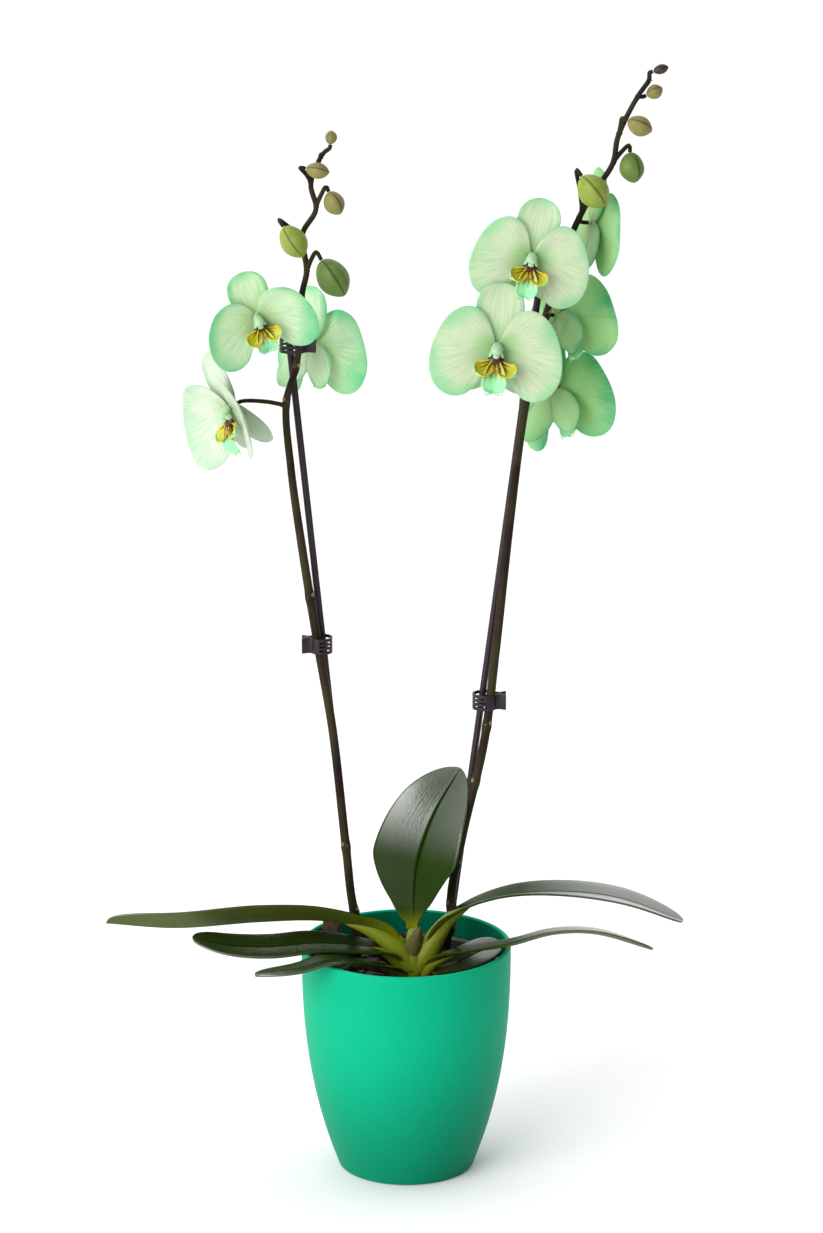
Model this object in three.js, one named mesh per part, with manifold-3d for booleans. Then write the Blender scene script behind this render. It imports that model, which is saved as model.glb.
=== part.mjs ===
// A potted moth orchid: a tapered plastic cover pot, the nursery pot and bark inside it, one plant with
// seven leaves, two flower spikes on stakes, eight open flowers, ten buds, and the spring clips that tie
// each spike to its stake. Millimetres, +Z up. The origin is the middle of the cover pot's flat base.
import * as THREE from "three";
import { mergeVertices } from "three/addons/utils/BufferGeometryUtils.js";
import Module from "manifold-3d";

const wasm = await Module();
wasm.setup();

// ---- Driving dimensions -------------------------------------------------------------------------------

const GAP = 0.3; // between pieces that touch

const pot = {
  height: 150,
  rimRadius: 67.5, // outside
  baseRadius: 43.5, // outside, before the bottom edge is rounded
  wall: 2.6,
  floor: 3,
  bottomEdge: 2.5, // radius of the rounded bottom edge
  swell: 2.5, // power of the side's curve: higher keeps the pot wide for longer
  steps: 8,
  sides: 36,
};

const nursery = {
  wall: 1.2,
  rimDrop: 14, // its rim lies this far under the cover pot's rim
  rimClearance: 3.2, // from the cover pot's inner wall at the rim
  rimLip: 2,
  lift: 6, // feet of the floor keep it above the cover pot's floor
  baseClearance: 2.5,
  drainRadius: 4,
  sides: 32,
};

const bark = {
  drop: 26, // its top lies this far under the cover pot's rim
  lump: 1.8, // height of the lumps of its top
  sides: 24,
};

const crown = { x: 5, y: -2, radius: 8.5, rise: 8, rootDepth: 14 }; // rise is over the rim's level

const stem = { baseRadius: 3.5, midRadius: 2.8, tipRadius: 1.5, sides: 7, steps: 30 };
const stake = { radius: 2.2, sides: 8, toFloor: 22 }; // toFloor: its end over the nursery pot's floor
const pedicelRadius = 1.25;
const leafThickness = 1.7;

const flower = {
  petalLength: 44,
  petalWidth: 61, // from its top margin to its lowest point
  sepalLength: 41,
  sepalWidth: 32,
  lateralLength: 38,
  lateralWidth: 25,
  lateralAngle: 143,
  thickness: 0.9,
  hubRadius: 2.6,
  lipLength: 30,
  lipWidth: 14,
  columnLength: 10,
};

// ---- Solids -------------------------------------------------------------------------------------------

const V = (x, y, z) => new THREE.Vector3(x, y, z);
const deg = (d) => (d * Math.PI) / 180;

// A closed three.js geometry as a manifold-3d solid.
function solid(geometry) {
  const bare = geometry.clone();
  for (const name of Object.keys(bare.attributes)) {
    if (name !== "position") bare.deleteAttribute(name);
  }
  const merged = mergeVertices(bare, 1e-4);
  const made = new wasm.Manifold(
    new wasm.Mesh({
      numProp: 3,
      vertProperties: merged.attributes.position.array,
      triVerts: new Uint32Array(merged.index.array),
    }),
  );
  return made;
}

// A manifold-3d solid as a three.js geometry.
function geometryOf(made) {
  const mesh = made.getMesh();
  const position = new Float32Array(mesh.numVert * 3);
  for (let i = 0; i < mesh.numVert; i++) {
    position.set(mesh.vertProperties.subarray(i * mesh.numProp, i * mesh.numProp + 3), i * 3);
  }
  const geometry = new THREE.BufferGeometry();
  geometry.setAttribute("position", new THREE.BufferAttribute(position, 3));
  geometry.setIndex(new THREE.BufferAttribute(new Uint32Array(mesh.triVerts), 1));
  geometry.computeVertexNormals();
  return geometry;
}

const join = (geometries) => geometryOf(geometries.map(solid).reduce((a, b) => a.add(b)));
const cut = (geometry, tools) =>
  geometryOf(tools.map(solid).reduce((a, b) => a.subtract(b), solid(geometry)));
const common = (a, b) => geometryOf(solid(a).intersect(solid(b)));

// Moves each vertex of a geometry to where place(x, y, z) says, and keeps its faces pointing out.
function reshape(geometry, place) {
  const p = geometry.attributes.position;
  for (let i = 0; i < p.count; i++) {
    const to = place(p.getX(i), p.getY(i), p.getZ(i));
    p.setXYZ(i, to.x, to.y, to.z);
  }
  geometry.computeVertexNormals();
  return geometry;
}

const curveOf = (points) => new THREE.CatmullRomCurve3(points, false, "centripetal");

// A round stem along a curve, whose radius is radiusAt(share of its length).
function stemAlong(curve, radiusAt, sides, steps) {
  const frames = curve.computeFrenetFrames(steps, false);
  return reshape(new THREE.CylinderGeometry(1, 1, 1, sides, steps), (x, y, z) => {
    const step = Math.round((0.5 - y) * steps);
    const share = step / steps;
    const r = radiusAt(share);
    return curve
      .getPointAt(share)
      .addScaledVector(frames.normals[step], x * r)
      .addScaledVector(frames.binormals[step], z * r);
  });
}

// Half the width of a rounded blade at a share of its length. peak is where it is widest.
function bladeHalf(share, width, peak, roundness, baseWidth) {
  const off = share < peak ? (peak - share) / peak : (share - peak) / (1 - peak);
  const round = Math.pow(Math.max(0, 1 - Math.pow(off, roundness)), 1 / roundness);
  const least = share < peak ? baseWidth / 2 : 0.7;
  return Math.max(least, (width / 2) * round);
}

// A leaf, petal or sepal: a thin closed blade along a curve.
// face is the way its upper side faces, fold the rise of its two halves, roll its turn about the curve.
function blade({ curve, face, width, peak = 0.5, roundness = 2.2, baseWidth = 6, fold = 0, roll = [0, 0],
  thickness, across = 4, along = 8 }) {
  return reshape(new THREE.BoxGeometry(1, 1, 1, across, along, 1), (x, y, z) => {
    const t = y + 0.5;
    const share = (1 - Math.cos(Math.PI * t)) / 2;
    const tangent = curve.getTangentAt(share);
    const side = tangent.clone().cross(face).normalize();
    const up = side.clone().cross(tangent);
    const turn = deg(roll[0] + (roll[1] - roll[0]) * share);
    side.applyAxisAngle(tangent, turn);
    up.applyAxisAngle(tangent, turn);
    const half = bladeHalf(share, width, peak, roundness, baseWidth);
    return curve
      .getPointAt(share)
      .addScaledVector(side, 2 * x * half)
      .addScaledVector(up, Math.abs(2 * x) * half * fold + z * thickness);
  });
}

// ---- Materials ----------------------------------------------------------------------------------------

const paint = (color, roughness, metalness = 0) =>
  new THREE.MeshStandardMaterial({ color, roughness, metalness });
const finish = {
  pot: paint(0x04c495, 0.45),
  nursery: paint(0x24302a, 0.35),
  bark: paint(0x4a3222, 0.9),
  crown: paint(0x8a9a14, 0.5),
  leaf: paint(0x2c4312, 0.35),
  root: paint(0x8b8270, 0.7),
  stem: paint(0x4f4a2e, 0.55),
  stake: paint(0x35262b, 0.5),
  clip: paint(0x35262b, 0.4),
  bud: paint(0x7f9a35, 0.5),
  petal: paint(0xbdeeb4, 0.6),
  sepal: paint(0x9fdd9a, 0.6),
  lip: paint(0xc8c22a, 0.55),
};

const model = new THREE.Group();

function add(name, geometry, material, parent = model) {
  const mesh = new THREE.Mesh(geometry, material);
  mesh.name = name;
  parent.add(mesh);
  return mesh;
}

// ---- Pots and bark ------------------------------------------------------------------------------------

// The cover pot's outside radius at a height.
function potRadius(z) {
  const down = Math.pow(1 - z / pot.height, pot.swell);
  return pot.rimRadius - (pot.rimRadius - pot.baseRadius) * down;
}
const potInside = (z) => potRadius(z) - pot.wall;

function coverPot() {
  const outline = [];
  for (let i = 0; i <= 3; i++) {
    const a = deg(-90 + 30 * i);
    outline.push(
      new THREE.Vector2(
        potRadius(pot.bottomEdge) - pot.bottomEdge * (1 - Math.cos(a)),
        pot.bottomEdge * (1 + Math.sin(a)),
      ),
    );
  }
  const side = pot.height - pot.wall / 2 - pot.bottomEdge;
  for (let i = 1; i <= pot.steps; i++) {
    const z = pot.bottomEdge + (side * i) / pot.steps;
    outline.push(new THREE.Vector2(potRadius(z), z));
  }
  const lip = pot.rimRadius - pot.wall / 2;
  outline.push(new THREE.Vector2(lip + pot.wall * 0.35, pot.height - pot.wall * 0.15));
  outline.push(new THREE.Vector2(lip, pot.height));
  outline.push(new THREE.Vector2(lip - pot.wall * 0.35, pot.height - pot.wall * 0.15));
  for (let i = pot.steps; i >= 0; i--) {
    const z = pot.floor + ((pot.height - pot.wall / 2 - pot.floor) * i) / pot.steps;
    outline.push(new THREE.Vector2(potInside(z), z));
  }
  outline.push(new THREE.Vector2(0, pot.floor));
  outline.unshift(new THREE.Vector2(0, 0));
  return new THREE.LatheGeometry(outline, pot.sides).rotateX(Math.PI / 2);
}

const nurseryTop = pot.height - nursery.rimDrop;
const nurseryFloor = pot.floor + nursery.lift;
const nurseryRimRadius = potInside(nurseryTop) - nursery.rimClearance - nursery.rimLip;
const nurseryBaseRadius = potInside(nurseryFloor) - nursery.baseClearance;

// The nursery pot's outside radius at a height: a plain cone.
function nurseryRadius(z) {
  const share = (z - nurseryFloor) / (nurseryTop - nurseryFloor);
  return nurseryBaseRadius + (nurseryRimRadius - nurseryBaseRadius) * share;
}

function nurseryPot() {
  const top = nurseryTop;
  const outside = nurseryRimRadius;
  const inside = (z) => nurseryRadius(z) - nursery.wall;
  const points = [
    [0, nurseryFloor],
    [nurseryBaseRadius, nurseryFloor],
    [nurseryRadius(top - nursery.wall * 2), top - nursery.wall * 2],
    [outside + nursery.rimLip, top - nursery.wall * 2],
    [outside + nursery.rimLip, top],
    [inside(top), top],
    [inside(nurseryFloor + nursery.wall), nurseryFloor + nursery.wall],
    [0, nurseryFloor + nursery.wall],
  ].map(([r, z]) => new THREE.Vector2(r, z));
  const cup = new THREE.LatheGeometry(points, nursery.sides).rotateX(Math.PI / 2);
  const drains = [];
  for (let i = 0; i < 5; i++) {
    const a = deg(72 * i);
    const hole = new THREE.CylinderGeometry(nursery.drainRadius, nursery.drainRadius, 20, 8)
      .rotateX(Math.PI / 2);
    const out = nurseryBaseRadius * 0.6;
    drains.push(hole.translate(out * Math.cos(a), out * Math.sin(a), nurseryFloor));
  }
  return cut(cup, drains);
}

const barkTop = pot.height - bark.drop;
const barkBottom = nurseryFloor + nursery.wall + GAP;
const barkInset = nursery.wall + 2 * GAP;

function barkMedium(holes) {
  const rings = [1, 0.8, 0.55, 0.3];
  const outline = [
    new THREE.Vector2(0, barkBottom),
    new THREE.Vector2(nurseryRadius(barkBottom) - barkInset - GAP, barkBottom),
    ...rings.map((share) => new THREE.Vector2((nurseryRadius(barkTop) - barkInset - GAP) * share, barkTop)),
    new THREE.Vector2(0, barkTop),
  ];
  const body = new THREE.LatheGeometry(outline, bark.sides).rotateX(Math.PI / 2);
  const lumpy = reshape(body, (x, y, z) => {
    const onTop = z > barkTop - 1e-3;
    return V(x, y, onTop ? z + bark.lump * Math.sin(0.19 * x + 1) * Math.cos(0.23 * y) : z);
  });
  return cut(lumpy, holes);
}

// ---- Crown, leaves and roots --------------------------------------------------------------------------

// Plant heights are over the rim's level, so that a taller pot carries the plant up with it.
const rim = (height) => pot.height + height;
const around = (radius, azimuth, height) =>
  V(radius * Math.cos(deg(azimuth)), radius * Math.sin(deg(azimuth)), rim(height));

// A point out from the crown's side, and one out from the pot's rim.
const fromCrown = (out, azimuth, height) =>
  around(crown.radius + GAP + out, azimuth, height).add(V(crown.x, crown.y, 0));
const fromRim = (out, azimuth, height) => around(pot.rimRadius + out, azimuth, height);

const crownBottom = barkTop - crown.rootDepth;
function crownStem(extra = 0) {
  const top = rim(crown.rise);
  const length = top - crownBottom;
  const outline = [
    new THREE.Vector2(0, extra ? -extra : 0),
    new THREE.Vector2(crown.radius * 0.6 + extra, extra ? -extra : 0),
    new THREE.Vector2(crown.radius + extra, length * 0.3),
    new THREE.Vector2(crown.radius + extra, length * 0.75),
    new THREE.Vector2(crown.radius * 0.55 + extra, length),
    new THREE.Vector2(0, length),
  ];
  return new THREE.LatheGeometry(outline, 14).rotateX(Math.PI / 2).translate(crown.x, crown.y, crownBottom);
}

const up = V(0, 0, 1);
const innerLeafReach = pot.rimRadius - pot.wall - 4; // the leaf that stays inside the rim

const leaves = {
  leaf_upright: {
    points: [V(crown.x, crown.y + 3, rim(9)), V(5, 5, rim(24)), V(7.6, 12.6, rim(50)), V(17.8, 22.2, rim(79)),
      V(35, 33, rim(107))],
    face: V(-0.5, -0.86, 0.1),
    width: 62,
    peak: 0.38,
    roundness: 1.6,
    baseWidth: 9,
    fold: 0.27,
  },
  leaf_left_upper: {
    points: [fromCrown(1, 174, -2), fromCrown(18, 176, 8.5), fromRim(-14, 180, 15), fromRim(25, 182, 15.5),
      fromRim(80, 183, 13), fromRim(125, 183, 17)],
    face: up,
    width: 40,
    peak: 0.55,
    baseWidth: 12,
    fold: 0.35,
    roll: [24, 32],
  },
  leaf_left_middle: {
    points: [fromCrown(1.2, 197, -11), fromCrown(15, 197, -2), fromRim(-10, 196, 4.4), fromRim(22, 194, 4),
      fromRim(50, 192, 6.2), fromRim(71, 190, 11.5)],
    face: up,
    width: 40,
    peak: 0.62,
    baseWidth: 11,
    fold: 0.08,
    roll: [0, -5],
  },
  leaf_left_lower: {
    points: [fromCrown(1.4, 226, -18), fromCrown(20, 225, -8), fromRim(0, 222, 3), fromRim(19, 217, 0),
      fromRim(43, 210, -2.5)],
    face: up,
    width: 20,
    peak: 0.66,
    baseWidth: 8,
    fold: 0.08,
  },
  leaf_right_upper: {
    points: [fromCrown(1.2, 0, -1), fromCrown(16, -3, 19), fromRim(-8, -6, 32.5), fromRim(31, -6, 37.5),
      fromRim(69, -5.5, 34), fromRim(110, -4.5, 19)],
    face: up,
    width: 40,
    peak: 0.6,
    baseWidth: 11,
    fold: 0.18,
    roll: [-10, 0],
  },
  leaf_right_lower: {
    points: [fromCrown(1.2, -28, -13), fromCrown(20, -26, -3), fromRim(3, -19, 6), fromRim(30, -16, 15),
      fromRim(56, -14, 16.5), fromRim(93, -12, 7)],
    face: up,
    width: 30,
    peak: 0.55,
    baseWidth: 9,
    fold: 0.2,
    roll: [-6, -18],
  },
  leaf_right_inner: {
    points: [fromCrown(1.2, -4, -19), around(30.4, -4, -14), around((30.4 + innerLeafReach) / 2, 2, -8),
      around(innerLeafReach, 6, -3)],
    face: V(0, -0.2, 1),
    width: 29,
    peak: 0.66,
    baseWidth: 7,
    fold: 0.1,
  },
};

// A point among the bark, at a share of the nursery pot's inside radius.
const inBark = (share, azimuth, height) => around(share * (nurseryRimRadius - nursery.wall), azimuth, height);

const roots = {
  root_left: [fromCrown(-3.5, 175, -24), fromCrown(12, 165, -20), inBark(0.6, 165, -20), inBark(0.79, 166, -27),
    inBark(0.82, 166, -40)],
  root_right: [fromCrown(-3.5, -45, -24), fromCrown(14, -40, -19), inBark(0.73, -37, -22),
    inBark(0.8, -38, -40)],
  root_back: [fromCrown(-3.5, 78, -24), fromCrown(14, 82, -20), inBark(0.64, 81, -22), inBark(0.73, 82, -40)],
};
const rootRadius = 2.4;

// ---- Spikes, stakes and clips -------------------------------------------------------------------------

// Each spike's line, from the crown's foot to its tip.
const spikeLine = {
  left: [fromCrown(-1, 140, -19), V(-13, 12, rim(-14)), V(-27, 18, rim(-4)), V(-34, 20, rim(16)),
    V(-39, 18, rim(60)), V(-47, 17, rim(137)), V(-56, 17, rim(193)), V(-66, 17, rim(259)),
      V(-72.5, 16, rim(310)),
    V(-75, 15, rim(352)), V(-69, 14, rim(374)), V(-66, 13, rim(395)), V(-64.5, 10, rim(422)),
      V(-61.5, 7, rim(437)),
    V(-64, 5, rim(460)), V(-55.5, 3, rim(476)), V(-58.5, 2, rim(492)), V(-51.5, 1, rim(511))],
  right: [fromCrown(-1, 48, -17), V(20, 12, rim(-8)), V(28, 15, rim(3)), V(29.5, 17, rim(30)),
    V(37, 18, rim(70)),
    V(50, 18, rim(130)), V(57, 18, rim(190)), V(65.5, 17, rim(275)), V(74.5, 15, rim(348)),
      V(83.5, 13, rim(391)),
    V(97, 10, rim(445)), V(113, 7, rim(482)), V(127, 4, rim(504)), V(130, 2, rim(521)), V(141, 0, rim(545)),
    V(148.5, -1, rim(556))],
};
const spikeCurve = { left: curveOf(spikeLine.left), right: curveOf(spikeLine.right) };

function spikeRadius(share) {
  const taper = share < 0.5 ? 0 : (share - 0.5) / 0.5;
  const foot = Math.max(0, 1 - share / 0.12);
  return stem.midRadius + (stem.baseRadius - stem.midRadius) * foot - (stem.midRadius - stem.tipRadius) * taper;
}

// The share of a curve's length at which it reaches a height.
function shareAt(curve, z) {
  let low = 0;
  let high = 1;
  for (let i = 0; i < 24; i++) {
    const mid = (low + high) / 2;
    if (curve.getPointAt(mid).z < z) low = mid;
    else high = mid;
  }
  return low;
}
const spikeAt = (side, height) => spikeCurve[side].getPointAt(shareAt(spikeCurve[side], rim(height)));

// Each stake stands off its spike by its own radius.
const stakeEnds = {
  left: [V(-71.8 - stake.radius, 18.8 + stake.radius, rim(398)), V(-35, 23.8 + stake.radius, rim(18))],
  right: [V(82.8, 20.6 + stake.radius, rim(422)), V(30.5, 23.3 + stake.radius, rim(18))],
};

// A stake's line runs on down to just over the nursery pot's floor. past is a little further still.
function stakeLine(side, past = 0) {
  const [top, low] = stakeEnds[side];
  const foot = nurseryFloor + nursery.wall + stake.toFloor - past;
  const bottom = top.clone().lerp(low, (top.z - foot) / (top.z - low.z));
  return new THREE.LineCurve3(bottom, top);
}
const stakeRod = (side, radius, past = 0) => stemAlong(stakeLine(side, past), () => radius, stake.sides, 1);
const stakeAt = (side, height) => {
  const [top, low] = stakeEnds[side];
  return top.clone().lerp(low, (top.z - rim(height)) / (top.z - low.z));
};

// A spring claw: two jaws on a pin, closed round a spike and its stake.
const claw = {
  width: 10, // along the stems
  wall: 1.2,
  clearance: 0.5,
  padLength: 4,
  padAngle: 24,
  pinRadius: 0.7,
  barrelRadius: 1.6,
  fingers: 4,
  fingerGap: 1.2,
  overhang: 1.6, // of the fingertips, past the stems
};
const claws = {
  clip_left_low: { side: "left", height: 193.5, hand: 1 },
  clip_left_high: { side: "left", height: 389, hand: -1 },
  clip_right_low: { side: "right", height: 156, hand: -1 },
};

const oval = (rx, ry, length) =>
  new THREE.CylinderGeometry(1, 1, length, 12).rotateX(Math.PI / 2).scale(rx, ry, 1);
const slab = (x0, x1, y0, y1, z0, z1) =>
  new THREE.BoxGeometry(x1 - x0, y1 - y0, z1 - z0).translate((x0 + x1) / 2, (y0 + y1) / 2, (z0 + z1) / 2);

// One jaw: stems along Z, fingers towards +X, this jaw on the -Y side. The rear jaw holds the pin.
function jaw(halfX, halfY, pinX, holdsPin) {
  const half = claw.width / 2;
  const inner = { x: halfX + claw.clearance, y: halfY + claw.clearance };
  const shelf = -(claw.barrelRadius + GAP);
  const palm = inner.x + claw.wall;
  // The oval runs on by the overhang on the fingers' side.
  const shell = reshape(oval(palm, inner.y + claw.wall, claw.width), (x, y, z) =>
    V(x > 0 ? x * (1 + claw.overhang / palm) : x, y, z),
  );
  const pad = slab(-claw.padLength, 0, -claw.wall, 0, -half, half)
    .rotateZ(deg(claw.padAngle)).translate(pinX, shelf, 0);
  const shoulder = slab(pinX - 0.6, -inner.x * 0.6, shelf - claw.wall, shelf, -half, half);
  const thisSide = slab(-50, 50, -50, -GAP / 2, -half, half);
  const slots = [oval(inner.x, inner.y, 2 * claw.width)];
  const pitch = claw.width / claw.fingers;
  for (let i = 1; i < claw.fingers; i++) {
    const z = -half + i * pitch;
    slots.push(slab(inner.x * 0.3, 50, -50, 50, z - claw.fingerGap / 2, z + claw.fingerGap / 2));
  }
  const body = cut(common(join([shell, pad, shoulder]), thisSide), slots);
  const third = claw.width / 6;
  const spans = holdsPin ? [[-third + GAP, third - GAP]] : [[-half, -third], [third, half]];
  const knuckles = spans.flatMap(([low, high]) => {
    const barrel = oval(claw.barrelRadius, claw.barrelRadius, high - low).translate(pinX, 0, (low + high) / 2);
    return [barrel, slab(pinX - 0.6, pinX + claw.barrelRadius, shelf - claw.wall / 2, 0, low, high)];
  });
  const pin = (radius, length) => oval(radius, radius, length).translate(pinX, 0, 0);
  return holdsPin
    ? join([body, ...knuckles, pin(claw.pinRadius, claw.width + 1)])
    : cut(join([body, ...knuckles]), [pin(claw.pinRadius + GAP, 2 * claw.width)]);
}

// ---- Flowers and buds ---------------------------------------------------------------------------------

// Where each flower stands: its middle, the way it faces, the way its top sepal points, and its size.
// node is the height on the spike its pedicel leaves from. cup is how far its petals reach forward.
const flowers = {
  left_front: { side: "left", node: 403, at: V(-92, -26, rim(416)), face: V(0.3, -1, -0.5), top: V(-0.36, 0, 1),
    size: 0.79, cup: 0.3 },
  left_low: { side: "left", node: 350, at: V(-109, 1, rim(352)), face: V(-0.74, -0.58, -0.32),
    top: V(-0.62, 0, 1),
    size: 0.9, cup: 0.42 },
  left_back: { side: "left", node: 374, at: V(-61, 43, rim(384)), face: V(0.68, 0.72, -0.2),
    top: V(-0.05, 0.1, 1),
    size: 0.88, cup: 0.3 },
  right_low: { side: "right", node: 372, at: V(56, -28, rim(397)), face: V(-0.03, -1, 0), top: V(0.08, 0, 1),
    size: 0.94, cup: 0.06 },
  right_high: { side: "right", node: 432, at: V(77, -20, rim(452)), face: V(0.04, -1, -0.05), top: V(0.2, 0, 1),
    size: 0.85, cup: 0.06 },
  right_top: { side: "right", node: 470, at: V(116, 22, rim(464)), face: V(1, 0.32, -0.2),
    top: V(0.05, 0.05, 1),
    size: 0.85, cup: 0.1 },
  right_middle: { side: "right", node: 408, at: V(94.5, 31, rim(404)), face: V(0.77, 0.64, -0.25),
    top: V(-0.45, 0.2, 1),
    size: 0.9, cup: 0.3 },
  right_back: { side: "right", node: 356, at: V(92, 46, rim(352)), face: V(0.7, 0.7, -0.25),
    top: V(-0.38, 0.1, 1),
    size: 0.92, cup: 0.3 },
};

const hubDepth = 3; // from a flower's middle back to where its pedicel ends

// A petal or sepal in its flower's frame: out along an angle from the top, bending forward or back.
function tepal({ angle, length, width, bend, lift, peak, roundness = 2.1, fold = 0, along = 6, across = 4,
  twist = 0 }) {
  const out = V(Math.sin(deg(angle)), Math.cos(deg(angle)), 0);
  const rise = [0.02, 0.25, 0.6, 1];
  const points = rise.map((t) =>
    out.clone().multiplyScalar(length * t).add(V(0, 0, lift + bend * length * t * t)),
  );
  return blade({
    curve: curveOf(points),
    face: V(0, 0, 1),
    width,
    peak,
    roundness,
    baseWidth: 4,
    fold,
    roll: [twist, twist],
    thickness: flower.thickness,
    across,
    along,
  });
}

const hub = (length, z) =>
  new THREE.CylinderGeometry(flower.hubRadius, flower.hubRadius, length, 5)
    .rotateX(Math.PI / 2).translate(0, 0, z);

function sepals() {
  const shared = { peak: 0.55, lift: -1.4, along: 4, across: 2 };
  const lateral = { ...shared, length: flower.lateralLength, width: flower.lateralWidth, bend: -0.12 };
  return join([
    hub(2.2, -2),
    tepal({ ...shared, length: flower.sepalLength, width: flower.sepalWidth, angle: 0, bend: -0.04 }),
    tepal({ ...lateral, angle: flower.lateralAngle }),
    tepal({ ...lateral, angle: -flower.lateralAngle }),
  ]);
}

// The outline of a right-hand petal, from its foot over its top margin and back:
// shares of its length and width.
const petalOutline = curveOf(
  [[0.03, 0.02], [0.11, 0.21], [0.25, 0.36], [0.45, 0.42], [0.68, 0.35], [0.86, 0.18], [0.97, -0.05],
    [0.99, -0.28],
    [0.875, -0.475], [0.66, -0.575], [0.42, -0.55], [0.24, -0.39], [0.1, -0.18], [0.035, -0.05]]
    .map(([x, y]) => V(x * flower.petalLength, y * flower.petalWidth, 0)),
);

// A broad petal, a fan from its foot out to its outline. hand is 1 for the right one and -1 for the left.
function petal(hand, cup) {
  const foot = V(1.2, -0.5, 0);
  return reshape(new THREE.BoxGeometry(1, 1, 1, 10, 2, 1), (x, y, z) => {
    const edge = petalOutline.getPointAt(0.02 + 0.96 * (hand * x + 0.5)).sub(foot);
    const out = 0.1 + 0.9 * (y + 0.5);
    const rise = cup * flower.petalLength * ((edge.length() * out) / flower.petalLength) ** 2;
    const spot = edge.multiplyScalar(out).add(foot);
    return V(hand * spot.x, spot.y, 0.9 + rise + z * flower.thickness);
  });
}

const petals = (cup) => join([hub(1, 0.9), petal(1, cup), petal(-1, cup)]);

// The lip and the column over it: a middle lobe reaching down, two raised side lobes and a blunt column.
function lip() {
  const z = 2.9;
  const down = flower.lipLength;
  const middle = blade({
    curve: curveOf([V(0, -0.5, z), V(0, -down * 0.3, z + 5), V(0, -down * 0.7, z + 11), V(0, -down, z + 9)]),
    face: V(0, 1, 1),
    width: flower.lipWidth,
    peak: 0.6,
    baseWidth: 5,
    fold: 0.1,
    thickness: 1.6,
    along: 3,
    across: 2,
  });
  const sides = [-1, 1].map((s) =>
    blade({
      curve: curveOf([V(s * 0.8, -down * 0.3, z + 4), V(s * 7, -down * 0.5, z + 8),
        V(s * 12, -down * 0.45, z + 13)]),
      face: V(-s, 0.6, 0.6),
      width: 12,
      peak: 0.6,
      baseWidth: 4,
      thickness: 1.2,
      along: 2,
      across: 1,
    }),
  );
  const columnLine = curveOf([V(0, -0.5, z), V(0, -1.5, z + 4), V(0, -5, z + flower.columnLength)]);
  return join([stemAlong(columnLine, (s) => 2.2 + 0.8 * s, 6, 2), middle, ...sides]);
}

// Turns a flower's own frame (x right, y top, z facing) to where it stands.
function stand(geometry, { at, face, top, size }) {
  const z = face.clone().normalize();
  const x = top.clone().cross(z).normalize();
  const y = z.clone().cross(x);
  const turn = new THREE.Matrix4().makeBasis(x, y, z).scale(V(size, size, size));
  return geometry.applyMatrix4(turn).translate(at.x, at.y, at.z);
}

// Buds: the height of the spike node each grows from, its middle, the way its tip points, length and width.
const buds = {
  bud_left_1: { side: "left", node: 437, at: V(-45, -2, rim(434)), tip: V(0.55, -0.1, -0.85), length: 26,
    width: 20 },
  bud_left_2: { side: "left", node: 456, at: V(-69, -10, rim(458)), tip: V(0.55, -0.2, -0.8), length: 22,
    width: 17 },
  bud_left_3: { side: "left", node: 478, at: V(-44, 2, rim(480)), tip: V(0.45, 0, -0.9), length: 15.5,
    width: 13 },
  bud_left_4: { side: "left", node: 493, at: V(-54, -9, rim(502)), tip: V(1, -0.1, -0.15), length: 14.5,
    width: 10 },
  bud_left_5: { side: "left", node: 509, at: V(-46, 0, rim(521)), tip: V(0.1, 0, 1), length: 8.5, width: 7.5 },
  bud_right_1: { side: "right", node: 474, at: V(115, -8, rim(489)), tip: V(0.6, -0.1, -0.75), length: 23,
    width: 19 },
  bud_right_2: { side: "right", node: 505, at: V(139, 2, rim(502)), tip: V(0.15, 0, -1), length: 19,
    width: 15.5 },
  bud_right_3: { side: "right", node: 523, at: V(143, -6, rim(529)), tip: V(0.9, 0, -0.4), length: 16,
    width: 12.5 },
  bud_right_4: { side: "right", node: 545, at: V(152, 1, rim(549)), tip: V(0.9, 0, 0.4), length: 10.5,
    width: 9 },
  bud_right_5: { side: "right", node: 559, at: V(155.5, -1, rim(563)), tip: V(0.95, 0, 0.3), length: 9.5,
    width: 6 },
};

function bud({ at, tip, length, width }) {
  const shape = reshape(new THREE.SphereGeometry(1, 9, 7), (x, y, z) => {
    const pinch = y > 0 ? 1 - 0.28 * y * y : 1;
    return V(((x * width) / 2) * pinch, (y * length) / 2, ((z * width) / 2) * pinch * 0.92);
  });
  const turn = new THREE.Quaternion().setFromUnitVectors(V(0, 1, 0), tip.clone().normalize());
  return shape.applyQuaternion(turn).translate(at.x, at.y, at.z);
}

// A pedicel from inside the spike to a flower's back or a bud's foot, leaving along the way it will end.
function pedicel(side, node, end, back, reach) {
  const start = spikeAt(side, node);
  const before = end.clone().addScaledVector(back, reach);
  const lift = start.clone().lerp(before, 0.45).add(V(0, 0, reach * 0.25));
  return stemAlong(curveOf([start, lift, before, end]), (s) => pedicelRadius * (1.15 - 0.15 * s), 5, 6);
}

// ---- Assembly -----------------------------------------------------------------------------------------

add("cover_pot", coverPot(), finish.pot);
add("nursery_pot", nurseryPot(), finish.nursery);
add("crown_stem", crownStem(), finish.crown);

for (const [name, leaf] of Object.entries(leaves)) {
  add(name, blade({ ...leaf, curve: curveOf(leaf.points), thickness: leafThickness, along: 10 }), finish.leaf);
}

// A root's tube. past runs it on at its end, for the hole it needs in the bark.
function rootTube(points, radius, past = 0) {
  const [from, to] = points.slice(-2);
  const end = to.clone().sub(from).setLength(past || 0.01).add(to);
  return stemAlong(curveOf([...points.slice(0, -1), past ? end : to]), () => radius, 7, 7);
}
for (const [name, points] of Object.entries(roots)) {
  add(name, cut(rootTube(points, rootRadius), [crownStem(GAP)]), finish.root);
}

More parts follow.
